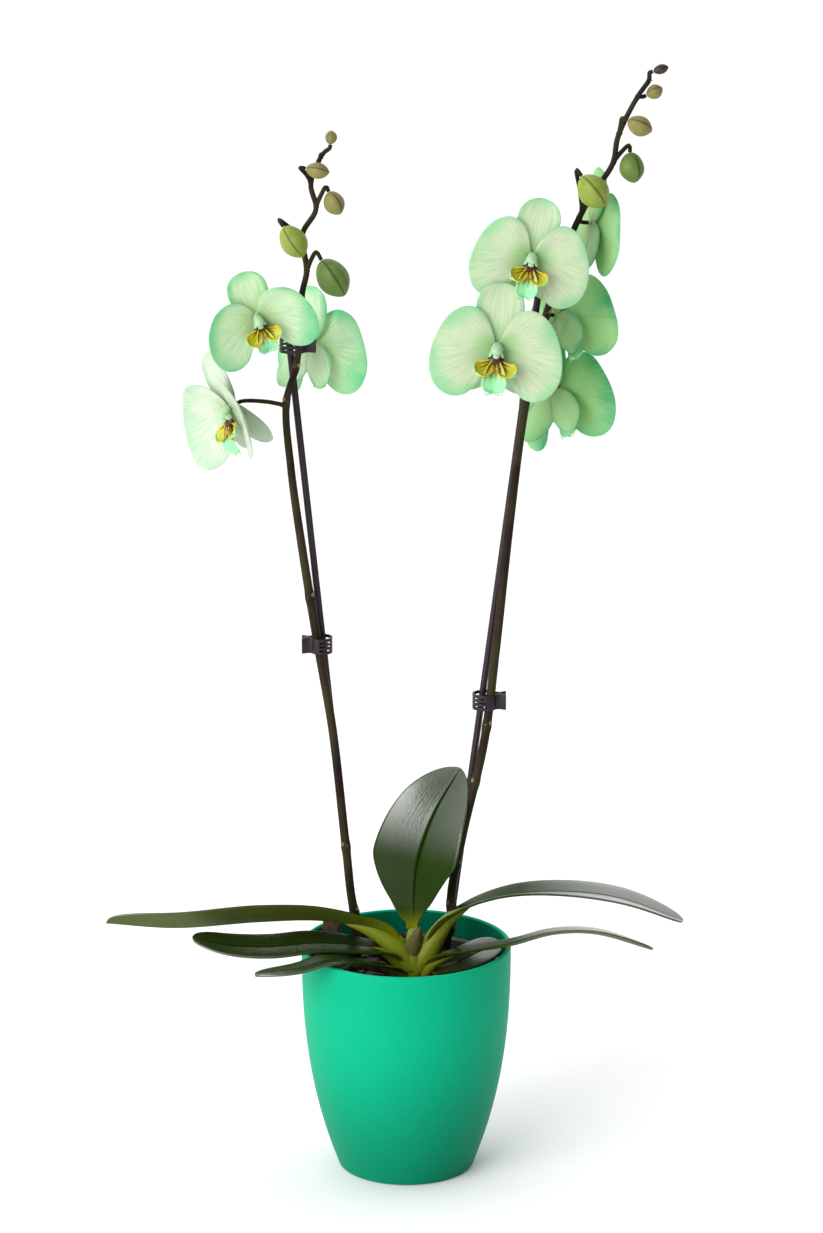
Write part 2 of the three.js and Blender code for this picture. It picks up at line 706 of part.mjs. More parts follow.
for (const side of ["left", "right"]) {
  add(`stake_${side}`, stakeRod(side, stake.radius), finish.stake);
  const stalks = [stemAlong(spikeCurve[side], spikeRadius, stem.sides, stem.steps)];
  for (const f of Object.values(flowers)) {
    if (f.side !== side) continue;
    const back = f.face.clone().normalize().negate();
    const end = f.at.clone().addScaledVector(back, hubDepth * f.size + GAP + 0.2);
    stalks.push(pedicel(side, f.node, end, back, 5));
  }
  for (const b of Object.values(buds)) {
    if (b.side !== side) continue;
    const back = b.tip.clone().normalize().negate();
    const end = b.at.clone().addScaledVector(back, b.length / 2 + GAP);
    stalks.push(pedicel(side, b.node, end, back, b.length * 0.22));
  }
  add(`spike_${side}`, cut(join(stalks), [crownStem(GAP)]), finish.stem);
}

for (const [name, f] of Object.entries(flowers)) {
  add(`sepals_${name}`, stand(sepals(), f), finish.sepal);
  add(`petals_${name}`, stand(petals(f.cup), f), finish.petal);
  add(`lip_${name}`, stand(lip(), f), finish.lip);
}

for (const [name, b] of Object.entries(buds)) {
  add(name, bud(b), finish.bud);
}

add(
  "bark_medium",
  barkMedium([
    crownStem(GAP),
    ...Object.values(roots).map((points) => rootTube(points, rootRadius + GAP, 0.5)),
    ...["left", "right"].map((side) => stakeRod(side, stake.radius + GAP, 0.5)),
  ]),
  finish.bark,
);

for (const [name, { side, height, hand }] of Object.entries(claws)) {
  const spike = spikeAt(side, height);
  const rod = stakeAt(side, height);
  const middle = spike.clone().lerp(rod, 0.5);
  const halfX = Math.abs(spike.x - rod.x) / 2 + stem.midRadius;
  const halfY = Math.abs(spike.y - rod.y) / 2 + stem.midRadius;
  const pinX = -(halfX + claw.clearance + claw.wall + claw.barrelRadius + GAP + 0.1);
  const stems = [
    stemAlong(spikeCurve[side], (s) => spikeRadius(s) + GAP, stem.sides, stem.steps),
    stakeRod(side, stake.radius + GAP),
  ];
  const front = jaw(halfX, halfY, pinX, hand < 0);
  const rear = jaw(halfX, halfY, pinX, hand > 0).rotateX(Math.PI);
  const pair = { front: hand > 0 ? front : rear, rear: hand > 0 ? rear : front };
  for (const [which, geometry] of Object.entries(pair)) {
    if (hand < 0) geometry.rotateZ(Math.PI);
    add(`${name}_${which}`, cut(geometry.translate(middle.x, middle.y, middle.z), stems), finish.clip);
  }
}

export default model;
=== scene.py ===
import math
import random

import bmesh
import bpy
from bpy.props import FloatProperty, FloatVectorProperty, IntProperty, PointerProperty
from mathutils import Matrix, Vector, noise


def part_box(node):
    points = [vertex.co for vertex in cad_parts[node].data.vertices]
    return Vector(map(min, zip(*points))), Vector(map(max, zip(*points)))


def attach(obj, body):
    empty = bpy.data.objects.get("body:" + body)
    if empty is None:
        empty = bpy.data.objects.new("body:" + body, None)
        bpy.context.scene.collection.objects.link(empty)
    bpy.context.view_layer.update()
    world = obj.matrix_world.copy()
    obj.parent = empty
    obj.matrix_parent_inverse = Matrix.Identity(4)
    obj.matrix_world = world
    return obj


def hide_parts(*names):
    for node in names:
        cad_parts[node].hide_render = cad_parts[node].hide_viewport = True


bl_info = {
    "name": "Potted Moth Orchid",
    "version": (1, 0, 0),
    "blender": (4, 5, 0),
    "location": "View3D > Sidebar > Orchid",
    "description": "Dresses the frame of a potted moth orchid: pots, bark, leaves, spikes, flowers, buds and clips",
    "category": "Object",
}

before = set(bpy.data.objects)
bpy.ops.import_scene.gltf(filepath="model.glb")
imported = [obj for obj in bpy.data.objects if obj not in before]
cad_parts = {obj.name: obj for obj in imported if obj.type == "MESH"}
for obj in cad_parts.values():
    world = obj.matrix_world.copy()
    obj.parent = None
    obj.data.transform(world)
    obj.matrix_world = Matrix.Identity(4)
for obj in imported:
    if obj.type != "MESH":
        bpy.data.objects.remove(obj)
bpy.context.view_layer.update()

# ---- The frame's sizes, in millimetres ------------------------------------------------------------------

MM = 0.001
RIM_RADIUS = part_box("cover_pot")[1].x / MM
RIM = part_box("cover_pot")[1].z / MM
NURSERY_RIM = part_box("nursery_pot")[1].z / MM
NURSERY_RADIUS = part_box("nursery_pot")[1].x / MM
NURSERY_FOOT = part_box("nursery_pot")[0].z / MM
BARK_TOP = RIM - 26
CROWN = Vector((5, -2, 0))
CROWN_RADIUS = 8.5
POT_WALL = 2.6
GAP = 0.3


def rim(height):
    """A height over the pot's rim."""
    return RIM + height


def around(radius, azimuth, height):
    """A point at a distance from the pot's axis."""
    a = math.radians(azimuth)
    return Vector((radius * math.cos(a), radius * math.sin(a), rim(height)))


def from_crown(out, azimuth, height):
    """A point out from the crown's side."""
    return around(CROWN_RADIUS + GAP + out, azimuth, height) + CROWN


def from_rim(out, azimuth, height):
    """A point out from the pot's rim."""
    return around(RIM_RADIUS + out, azimuth, height)


# ---- Where the leaves, spikes, flowers and buds are -----------------------------------------------------

UP = Vector((0, 0, 1))

LEAVES = {
    "leaf_upright": dict(
        points=[CROWN + Vector((0, 3, rim(9))), Vector((5, 5, rim(24))), Vector((7.6, 12.6, rim(50))),
                Vector((17.8, 22.2, rim(79))), Vector((35, 33, rim(107)))],
        face=Vector((-0.5, -0.86, 0.1)), width=62, peak=0.4, roundness=1.75, base=8, fold=0.27, roll=(0, 0),
        droop=0.04, foot=1.15),
    "leaf_left_upper": dict(
        points=[from_crown(1, 174, -2), from_crown(18, 176, 8.5), from_rim(-14, 180, 15), from_rim(25, 182, 15.5),
                from_rim(80, 183, 13), from_rim(125, 183, 17)],
        face=UP, width=40, peak=0.55, roundness=2.2, base=12, fold=0.35, roll=(24, 32), droop=0, foot=2.2),
    "leaf_left_middle": dict(
        points=[from_crown(1.2, 197, -11), from_crown(15, 197, -2), from_rim(-10, 196, 4.4), from_rim(22, 194, 4),
                from_rim(50, 192, 6.2), from_rim(71, 190, 11.5)],
        face=UP, width=40, peak=0.62, roundness=2.2, base=11, fold=0.1, roll=(0, -5), droop=0.03, foot=2.2),
    "leaf_left_lower": dict(
        points=[from_crown(1.4, 226, -18), from_crown(20, 225, -8), from_rim(0, 222, 3), from_rim(19, 217, 0),
                from_rim(43, 210, -2.5)],
        face=UP, width=20, peak=0.66, roundness=2.2, base=8, fold=0.1, roll=(0, 0), droop=0, foot=2.2),
    "leaf_right_upper": dict(
        points=[from_crown(1.2, 0, -1), from_crown(16, -3, 19), from_rim(-8, -6, 32.5), from_rim(31, -6, 37.5),
                from_rim(69, -5.5, 34), from_rim(110, -4.5, 19)],
        face=UP, width=40, peak=0.6, roundness=2.2, base=11, fold=0.2, roll=(-10, 0), droop=0.05, foot=2.2),
    "leaf_right_lower": dict(
        points=[from_crown(1.2, -28, -13), from_crown(20, -26, -3), from_rim(3, -19, 6), from_rim(30, -16, 15),
                from_rim(56, -14, 16.5), from_rim(93, -12, 7)],
        face=UP, width=30, peak=0.55, roundness=2.2, base=9, fold=0.22, roll=(-6, -18), droop=0.05, foot=2.2),
    "leaf_right_inner": dict(
        points=[from_crown(1.2, -4, -19), around(0.45 * RIM_RADIUS, -4, -14), around(0.68 * RIM_RADIUS, 2, -8),
                around(RIM_RADIUS - POT_WALL - 4, 6, -3)],
        face=Vector((0, -0.2, 1)), width=29, peak=0.66, roundness=2.2, base=7, fold=0.1, roll=(0, 0), droop=0.05, foot=2.2),
}

ROOTS = {
    "root_left": [from_crown(-3.5, 175, -24), from_crown(12, 165, -20), Vector((-34, 9, rim(-20))),
                  Vector((-45, 11, rim(-27))), Vector((-47, 12, rim(-40)))],
    "root_right": [from_crown(-3.5, -45, -24), from_crown(14, -40, -19), Vector((34, -26, rim(-22))),
                   Vector((37, -29, rim(-40)))],
    "root_back": [from_crown(-3.5, 78, -24), from_crown(14, 82, -20), Vector((6, 37, rim(-22))),
                  Vector((6, 42, rim(-40)))],
}

# Each spike: points out to the side, back, and over the rim. Its nodes are heights over the rim.
SPIKES = {
    "left": dict(
        foot=from_crown(-1, 140, -19),
        line=[(-13, 12, -14), (-27, 18, -4), (-34, 20, 16), (-39, 18, 60), (-47, 17, 137), (-56, 17, 193),
              (-66, 17, 259), (-72.5, 16, 310), (-75, 15, 352), (-69, 14, 374), (-66, 13, 395), (-64.5, 10, 422),
              (-61.5, 7, 437), (-64, 5, 460), (-55.5, 3, 476), (-58.5, 2, 492), (-51.5, 1, 511)],
        nodes=[14, 59, 225, 352, 374]),
    "right": dict(
        foot=from_crown(-1, 48, -17),
        line=[(20, 12, -8), (28, 15, 3), (29.5, 17, 30), (37, 18, 70), (50, 18, 130), (57, 18, 190),
              (65.5, 17, 275), (74.5, 15, 348), (83.5, 13, 391), (97, 10, 445), (113, 7, 482), (127, 4, 504),
              (130, 2, 521), (141, 0, 545), (148.5, -1, 556)],
        nodes=[4, 20, 47, 102, 140, 356, 408]),
}
STAKES = {
    "left": (Vector((-74, 21, rim(398))), Vector((-35, 26, rim(18)))),
    "right": (Vector((82.8, 22.8, rim(422))), Vector((30.5, 25.5, rim(18)))),
}
STEM_FOOT, STEM_MIDDLE, STEM_TIP = 3.5, 2.8, 1.5
STAKE_RADIUS = 2.2

# Each flower: its spike, the height its stalk leaves from, its middle, the way it faces, the way its top
# sepal points, its size, how far its petals reach forward, and its tint.
FLOWERS = {
    "left_front": dict(side="left", node=403, at=(-92, -26, 416), face=(0.3, -1, -0.5), top=(-0.36, 0, 1),
                       size=0.79, cup=0.3, tint="mint"),
    "left_low": dict(side="left", node=350, at=(-109, 1, 352), face=(-0.74, -0.58, -0.32), top=(-0.62, 0, 1),
                     size=0.9, cup=0.42, tint="white"),
    "left_back": dict(side="left", node=374, at=(-61, 43, 384), face=(0.68, 0.72, -0.2), top=(-0.05, 0.1, 1),
                      size=0.88, cup=0.3, tint="mint"),
    "right_low": dict(side="right", node=372, at=(56, -28, 397), face=(-0.03, -1, 0), top=(0.08, 0, 1),
                      size=0.94, cup=0.06, tint="pale"),
    "right_high": dict(side="right", node=432, at=(77, -20, 452), face=(0.04, -1, -0.05), top=(0.2, 0, 1),
                       size=0.85, cup=0.06, tint="pale"),
    "right_top": dict(side="right", node=470, at=(116, 22, 464), face=(1, 0.32, -0.2), top=(0.05, 0.05, 1),
                      size=0.85, cup=0.1, tint="green"),
    "right_middle": dict(side="right", node=408, at=(94.5, 31, 404), face=(0.77, 0.64, -0.25),
                         top=(-0.45, 0.2, 1), size=0.9, cup=0.3, tint="green"),
    "right_back": dict(side="right", node=356, at=(92, 46, 352), face=(0.7, 0.7, -0.25), top=(-0.38, 0.1, 1),
                       size=0.92, cup=0.3, tint="green"),
}
# A right-hand petal's outline, from its foot over the top and round to its foot again.
PETAL_OUTLINE = [(1.4, 1), (5, 13), (11, 22), (20, 25.5), (30, 21.5), (38, 11), (42.8, -3), (43.5, -17), (38.5, -29),
                 (29, -35), (18.5, -33.5), (10.5, -24), (4.5, -11), (1.6, -3)]
PETAL_FOOT = Vector((1.2, -0.5, 0))
PETAL_LENGTH = 44
DORSAL = dict(length=41, width=32, angle=0)
LATERAL = dict(length=38, width=25, angle=143)
LIP_LENGTH = 30
HUB_DEPTH = 3
PEDICEL_RADIUS = 1.25

# Each bud: its spike, the height its stalk leaves from, its middle, the way it points, length and width,
# and how ripe it looks, from a green one to a dark reddish one.
BUDS = {
    "bud_left_1": dict(side="left", node=437, at=(-45, -2, 434), tip=(0.55, -0.1, -0.85), size=(26, 20), tint="deep"),
    "bud_left_2": dict(side="left", node=456, at=(-69, -10, 458), tip=(0.55, -0.2, -0.8), size=(22, 17), tint="lime"),
    "bud_left_3": dict(side="left", node=478, at=(-44, 2, 480), tip=(0.45, 0, -0.9), size=(15.5, 13), tint="russet"),
    "bud_left_4": dict(side="left", node=493, at=(-54, -9, 502), tip=(1, -0.1, -0.15), size=(14.5, 10), tint="russet"),
    "bud_left_5": dict(side="left", node=509, at=(-46, 0, 521), tip=(0.1, 0, 1), size=(8.5, 7.5), tint="russet"),
    "bud_right_1": dict(side="right", node=474, at=(115, -8, 489), tip=(0.6, -0.1, -0.75), size=(23, 19), tint="lime"),
    "bud_right_2": dict(side="right", node=505, at=(139, 2, 502), tip=(0.15, 0, -1), size=(19, 15.5), tint="deep"),
    "bud_right_3": dict(side="right", node=523, at=(143, -6, 529), tip=(0.9, 0, -0.4), size=(16, 12.5), tint="russet"),
    "bud_right_4": dict(side="right", node=545, at=(152, 1, 549), tip=(0.9, 0, 0.4), size=(10.5, 9), tint="russet"),
    "bud_right_5": dict(side="right", node=559, at=(155.5, -1, 563), tip=(0.95, 0, 0.3), size=(9.5, 6), tint="dark"),
}

# Each clip: its spike, its height over the rim, and whether its fingers reach right (1) or left (-1).
CLIPS = {
    "clip_left_low": dict(side="left", height=193.5, hand=1),
    "clip_left_high": dict(side="left", height=389, hand=-1),
    "clip_right_low": dict(side="right", height=156, hand=-1),
}
CLAW = dict(width=10, wall=1.2, clearance=0.5, pad=4, pad_angle=24, pin=0.7, barrel=1.6, fingers=4,
            finger_gap=1.2, overhang=1.6)


# ---- Settings -------------------------------------------------------------------------------------------


def srgb(code):
    """Turns a six-digit sRGB hex colour to linear red, green and blue."""
    parts = [int(code[i : i + 2], 16) / 255 for i in (0, 2, 4)]
    return [p / 12.92 if p <= 0.04045 else ((p + 0.055) / 1.055) ** 2.4 for p in parts]


def colour(name, description, code):
    """A colour setting with an sRGB hex default."""
    return FloatVectorProperty(name=name, description=description, subtype="COLOR", min=0, max=1, default=srgb(code))


class PotSettings(bpy.types.PropertyGroup):
    """Sizes and colours of the two pots and the bark."""

    wall: FloatProperty(
        name="Wall", description="Thickness of the cover pot's wall", default=POT_WALL * MM, unit="LENGTH")
    grain: FloatProperty(
        name="Grain", description="Size of the grain in the cover pot's matt skin", default=1.1 * MM, unit="LENGTH")
    colour: colour("Cover pot", "Colour of the cover pot's plastic", "00a97e")
    nursery: colour("Nursery pot", "Colour of the nursery pot's plastic", "1d2a24")
    bark: colour("Bark", "Colour of the damp bark", "3b281b")
    chips: IntProperty(name="Chips", description="Number of loose bark chips on top", default=330, min=0)


class LeafSettings(bpy.types.PropertyGroup):
    """Sizes and colours of the leaves and the crown."""

    thickness: FloatProperty(
        name="Thickness", description="Thickness of a leaf", default=1.7 * MM, unit="LENGTH")
    upper: colour("Upper side", "Colour of a leaf's glossy upper side", "1d3008")
    under: colour("Underside", "Colour of a leaf's paler underside", "404e15")
    crown: colour("Crown", "Yellow-green of the crown and the leaf feet", "6a700a")
    root: colour("Root", "Colour of a dry aerial root", "8d8268")


class StemSettings(bpy.types.PropertyGroup):
    """Colours of the spikes, stakes and clips."""

    stem: colour("Stem", "Green-brown of the spikes", "302c1a")
    flush: colour("Flush", "Purple-brown flush on the spikes", "1d1413")
    bract: colour("Bract", "Dry scales at the spikes' nodes", "85735a")
    stake: colour("Stake", "Purple-brown coating of the stakes", "22171d")
    clip: colour("Clip", "Purple-brown plastic of the clips", "1f151b")


class FlowerSettings(bpy.types.PropertyGroup):
    """Sizes and colours of the flowers."""

    thickness: FloatProperty(
        name="Petal thickness", description="Thickness of a petal", default=0.75 * MM, unit="LENGTH")
    vein: colour("Vein", "Green of the fine veins", "96c79c")
    yellow: colour("Lip", "Yellow of the lip's side lobes", "b5ae10")
    maroon: colour("Throat", "Maroon of the throat and its stripes", "43180f")
    column: colour("Column", "Green-white of the column", "98c096")


class StageSettings(bpy.types.PropertyGroup):
    """The floor and the camera."""

    floor: colour("Floor", "Colour of the floor", "fafafa")
    distance: FloatProperty(
        name="Distance", description="From the camera to the pot's axis", default=2.6, unit="LENGTH")
    height: FloatProperty(
        name="Height", description="Of the camera over the floor", default=1.06, unit="LENGTH")
    pitch: FloatProperty(
        name="Pitch", description="How far the camera looks down", default=math.radians(14.92), unit="ROTATION")
    lens: FloatProperty(name="Lens", description="Focal length in millimetres", default=124.5)


SETTINGS = {
    "orchid_pot": PotSettings,
    "orchid_leaf": LeafSettings,
    "orchid_stem": StemSettings,
    "orchid_flower": FlowerSettings,
    "orchid_stage": StageSettings,
}

# The tints of the petals: heart, field, edge and back.
PETAL_TINTS = {
    "pale": ("a2ca88", "ced9ba", "8ccc9a", "86a668"),
    "mint": ("c2da9e", "cfe6c0", "62c48c", "7cab66"),
    "white": ("b6c8a0", "d2d8c8", "b4ccb4", "9aab8a"),
    "green": ("87a45c", "a2ca8c", "4aae7c", "5f8040"),
}
# The tints of the buds: foot, side and seam.
BUD_TINTS = {
    "lime": ("6a7d2c", "90a040", "54501f"),
    "deep": ("43602a", "6a8038", "34421d"),
    "russet": ("6a6a34", "86804a", "573829"),
    "dark": ("33291f", "41332a", "291e1a"),
}


# ---- Making pieces --------------------------------------------------------------------------------------


def node(tree, kind, settings=None, links=None):
    """Adds a node with its settings. links gives each input a value, or a socket or node to take it from."""
    made = tree.nodes.new("ShaderNode" + kind)
    for key, value in (settings or {}).items():
        setattr(made, key, value)
    for key, value in (links or {}).items():
        if isinstance(value, bpy.types.Node):
            value = value.outputs[0]
        if isinstance(value, bpy.types.NodeSocket):
            tree.links.new(value, made.inputs[key])
        else:
            made.inputs[key].default_value = value
    return made


def rgba(linear):
    """A linear colour with full alpha, as a node's colour socket takes it."""
    return (*linear, 1)


def new_material(name):
    """An empty node material, and its tree."""
    made = bpy.data.materials.new(name)
    made.use_nodes = True
    made.node_tree.nodes.clear()
    return made, made.node_tree


def piece(name, bm, materials, stands_for=(), body="root", wall=0, levels=0, bevel=0, under=0):
    """Makes a finished piece from a bmesh, closes it with the modifiers asked for, hangs it from its body, and hides
    the frame's parts that it stands for.
    """
    mesh = bpy.data.meshes.new(name)
    bm.to_mesh(mesh)
    bm.free()
    for made in materials:
        mesh.materials.append(made)
    mesh.shade_smooth()
    made = bpy.data.objects.new(name, mesh)
    bpy.context.scene.collection.objects.link(made)
    if wall:
        shell = made.modifiers.new("Wall", "SOLIDIFY")
        shell.thickness = wall
        shell.offset = 0
        shell.material_offset = under
        shell.material_offset_rim = 0
    if bevel:
        edge = made.modifiers.new("Edge", "BEVEL")
        edge.width = bevel
        edge.segments = 3
        edge.limit_method = "ANGLE"
    if levels:
        smooth = made.modifiers.new("Smooth", "SUBSURF")
        smooth.levels = smooth.render_levels = levels
    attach(made, body)
    if stands_for:
        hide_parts(*stands_for)
    return made


class Curve:
    """A smooth line through points, read by share of its length."""

    def __init__(self, points, fine=20):
        ends = [points[0] * 2 - points[1], *points, points[-1] * 2 - points[-2]]
        self.points = []
        for a, b, c, d in zip(ends, ends[1:], ends[2:], ends[3:]):
            self.points += [self.between(a, b, c, d, i / fine) for i in range(fine)]
        self.points.append(points[-1].copy())
        self.lengths = [0]
        for a, b in zip(self.points, self.points[1:]):
            self.lengths.append(self.lengths[-1] + (b - a).length)

    @staticmethod
    def between(a, b, c, d, t):
        """A point between b and c on a centripetal Catmull-Rom curve."""
        ab, bc, cd = ((q - p).length ** 0.5 for p, q in ((a, b), (b, c), (c, d)))
        leave = ((b - a) / ab - (c - a) / (ab + bc) + (c - b) / bc) * bc
        arrive = ((c - b) / bc - (d - b) / (bc + cd) + (d - c) / cd) * bc
        square = (c - b) * 3 - leave * 2 - arrive
        return b + leave * t + square * t * t + ((b - c) * 2 + leave + arrive) * t**3

    def at(self, share):
        """The point at a share of the length."""
        target = min(max(share, 0), 1) * self.lengths[-1]
        low, high = 0, len(self.lengths) - 1
        while high - low > 1:
            mid = (low + high) // 2
            low, high = (mid, high) if self.lengths[mid] <= target else (low, mid)
        span = self.lengths[high] - self.lengths[low]
        return self.points[low].lerp(self.points[high], (target - self.lengths[low]) / span if span else 0)

    def along(self, share):
        """The direction at a share of the length."""
        return (self.at(share + 0.004) - self.at(share - 0.004)).normalized()

    def share_at_height(self, z):
        """The share of its length at which a rising line reaches a height."""
        low, high = 0.0, 1.0
        for _ in range(24):
            mid = (low + high) / 2
            low, high = (mid, high) if self.at(mid).z < z else (low, mid)
        return low


def tube(bm, curve, radius_at, sides=12, steps=40):
    """A closed round stem along a curve: one circle after another, bridged."""
    normal = curve.along(0).orthogonal().normalized()
    last = None
    for i in range(steps + 1):
        share = i / steps
        tangent = curve.along(share)
        normal = (normal - tangent * normal.dot(tangent)).normalized()
        place = Matrix((normal, tangent.cross(normal), tangent)).transposed().to_4x4()
        place.translation = curve.at(share) * MM
        made = bmesh.ops.create_circle(
            bm, cap_ends=i in (0, steps), radius=radius_at(share) * MM, segments=sides, matrix=place)
        ring = list({edge for vert in made["verts"] for edge in vert.link_edges})
        if last:
            bmesh.ops.bridge_loops(bm, edges=last + ring)
        last = ring
    bmesh.ops.recalc_face_normals(bm, faces=bm.faces)


def blade_half(share, width, peak, roundness, base, foot=None):
    """Half the width of a rounded blade at a share of its length. peak is where it is widest.

    foot is the roundness below the peak, where that differs: 1 tapers straight to the foot.
    """
    off = (peak - share) / peak if share < peak else (share - peak) / (1 - peak)
    power = foot if foot and share < peak else roundness
    full = width / 2 * max(0, 1 - off**power) ** (1 / power)
    return max(base / 2 if share < peak else 0.35, full)


def blade(bm, curve, face, half_at, rise_at, roll=(0, 0), across=16, along=32):
    """Bends a grid along a curve into a leaf, petal or sepal, with its upper side to face."""
    bm.loops.layers.uv.verify()
    made = bmesh.ops.create_grid(bm, x_segments=across, y_segments=along, size=1, calc_uvs=True)
    rows = {}
    for vert in made["verts"]:
        x, y = vert.co.x, round(vert.co.y, 5)
        if y not in rows:
            share = (1 - math.cos(math.pi * (y + 1) / 2)) / 2
            tangent = curve.along(share)
            side = tangent.cross(face).normalized()
            up = side.cross(tangent)
            turn = Matrix.Rotation(math.radians(roll[0] + (roll[1] - roll[0]) * share), 3, tangent)
            rows[y] = share, curve.at(share), turn @ side, turn @ up
        share, middle, side, up = rows[y]
        vert.co = (middle + side * (x * half_at(share, x)) + up * rise_at(share, x)) * MM


def lathe(bm, outline, steps=96):
    """Spins an open outline of (radius, height) in millimetres round the pot's axis."""
    verts = [bm.verts.new((r * MM, 0, z * MM)) for r, z in outline]
    edges = [bm.edges.new(pair) for pair in zip(verts, verts[1:])]
    bmesh.ops.spin(
        bm, geom=verts + edges, cent=(0, 0, 0), axis=(0, 0, 1), angle=math.tau, steps=steps, use_merge=True)
    bmesh.ops.remove_doubles(bm, verts=bm.verts, dist=1e-6)
    bmesh.ops.recalc_face_normals(bm, faces=bm.faces)


def arc(centre, radius, start, end, steps=5):
    """Points of an arc in an outline, from one angle in degrees to another."""
    turns = [math.radians(start + (end - start) * i / steps) for i in range(steps + 1)]
    return [(centre[0] + radius * math.cos(a), centre[1] + radius * math.sin(a)) for a in turns]


# ---- Pots and bark --------------------------------------------------------------------------------------


def cover_radius(z):
    """The cover pot's outside radius at a height: a tapering side that swells to an upright rim."""
    base = 43.5
    return RIM_RADIUS - (RIM_RADIUS - base) * max(0, 1 - z / RIM) ** 2.5


def moulded_polypropylene(settings):
    """Injection moulded polypropylene with a spark-eroded mould grain: a soft wide highlight whose sparkle is painted
    as paler specks, with painted shade towards the foot and on the inner wall.
    """
    made, tree = new_material("moulded polypropylene, matt grain")
    place = node(tree, "TexCoord").outputs["Object"]
    grain = node(tree, "TexNoise", links={"Vector": place, "Scale": 1 / settings.grain, "Detail": 3, "Roughness": 0.6})
    cloud = node(tree, "TexNoise", links={"Vector": place, "Scale": 14, "Detail": 2})
    deep = [c * 0.86 for c in settings.colour]
    tone = node(tree, "Mix", {"data_type": "RGBA"}, {0: cloud, 6: rgba(settings.colour), 7: rgba(deep)})
    # Painted highlight: paler specks where the grain is high stand in for the sparkle of its highlight.
    glint = node(tree, "MapRange", {"interpolation_type": "SMOOTHSTEP"}, {0: grain, 1: 0.52, 2: 0.7, 3: 0, 4: 0.3})
    pale = rgba([c * 1.35 + 0.004 for c in settings.colour])
    spark = node(tree, "Mix", {"data_type": "RGBA"}, {0: glint, 6: tone.outputs[2], 7: pale})
    # Painted shade: the colour darkens towards the foot.
    height = node(tree, "SeparateXYZ", links={0: place})
    painted_foot_shade = node(tree, "MapRange", {"interpolation_type": "SMOOTHSTEP"}, {0: height.outputs[2], 1: 0.12, 2: 0.0, 3: 0, 4: 0.8})
    foot = rgba([c * 0.42 for c in settings.colour])
    outer = node(tree, "Mix", {"data_type": "RGBA"}, {0: painted_foot_shade, 6: spark.outputs[2], 7: foot})
    # Painted shade: the inner wall, which faces the axis, is darkened.
    facing = node(tree, "VectorMath", {"operation": "DOT_PRODUCT"}, {
        0: place, 1: node(tree, "TexCoord").outputs["Normal"]})
    inside = node(tree, "MapRange", links={0: facing.outputs["Value"], 1: -0.02, 2: -0.05, 3: 0, 4: 0.75})
    shaded = rgba([c * 0.3 for c in settings.colour])
    moulded = node(tree, "Mix", {"data_type": "RGBA"}, {0: inside, 6: outer.outputs[2], 7: shaded})
    gloss = node(tree, "MapRange", links={0: grain, 3: 0.42, 4: 0.6})
    bump = node(tree, "Bump", links={"Height": grain, "Strength": 0.36, "Distance": 0.25 * MM})
    surface = node(tree, "BsdfPrincipled", links={
        "Base Color": moulded.outputs[2], "Roughness": gloss, "IOR": 1.49, "Specular IOR Level": 0.07,
        "Normal": bump})
    node(tree, "OutputMaterial", links={"Surface": surface})
    return made


def thin_nursery_plastic(settings):
    """Vacuum formed recycled polystyrene: thin, dark and faintly scuffed."""
    made, tree = new_material("vacuum formed polystyrene, dark")
    place = node(tree, "TexCoord").outputs["Object"]
    scuff = node(tree, "TexNoise", links={"Vector": place, "Scale": 260, "Detail": 4})
    gloss = node(tree, "MapRange", links={0: scuff, 3: 0.25, 4: 0.5})
    dust = [c * 1.7 for c in settings.nursery]
    tone = node(tree, "Mix", {"data_type": "RGBA"}, {0: scuff, 6: rgba(settings.nursery), 7: rgba(dust)})
    surface = node(tree, "BsdfPrincipled", links={
        "Base Color": tone.outputs[2], "Roughness": gloss, "IOR": 1.55})
    node(tree, "OutputMaterial", links={"Surface": surface})
    return made


def damp_bark(settings):
    """Chipped pine bark, watered: dark flaky layers with painted shade in their hollows, a few paler broken faces and
    glints of water.
    """
    made, tree = new_material("chipped pine bark, damp")
    place = node(tree, "TexCoord").outputs["Object"]
    squash = node(tree, "Mapping", links={"Vector": place, "Scale": (1, 1, 2.6)})
    layers = node(tree, "TexNoise", links={"Vector": squash, "Scale": 330, "Detail": 6, "Roughness": 0.7})
    patch = node(tree, "TexNoise", links={"Vector": place, "Scale": 85, "Detail": 2})
    pick = node(tree, "MapRange", {"interpolation_type": "SMOOTHSTEP"}, {0: patch, 1: 0.45, 2: 0.68})
    pale = rgba(srgb("7c5a3a"))
    tone = node(tree, "Mix", {"data_type": "RGBA"}, {0: pick, 6: rgba(settings.bark), 7: pale})
    # Darker where the bump is low: partly the bark's own dark layers, partly painted shade in the crevices.
    cracks = node(tree, "MapRange", links={0: layers, 1: 0.35, 2: 0.6, 3: 0.25, 4: 1})
    shade = node(tree, "Mix", {"data_type": "RGBA", "blend_type": "MULTIPLY"}, {0: 1.0, 6: tone.outputs[2]})
    tree.links.new(cracks.outputs[0], shade.inputs[7])
    wet = node(tree, "MapRange", links={0: patch, 1: 0.4, 2: 0.6, 3: 0.28, 4: 0.85})
    bump = node(tree, "Bump", links={"Height": layers, "Strength": 0.9, "Distance": 0.8 * MM})
    surface = node(tree, "BsdfPrincipled", links={
        "Base Color": shade.outputs[2], "Roughness": wet, "IOR": 1.45, "Normal": bump})
    node(tree, "OutputMaterial", links={"Surface": surface})
    return made


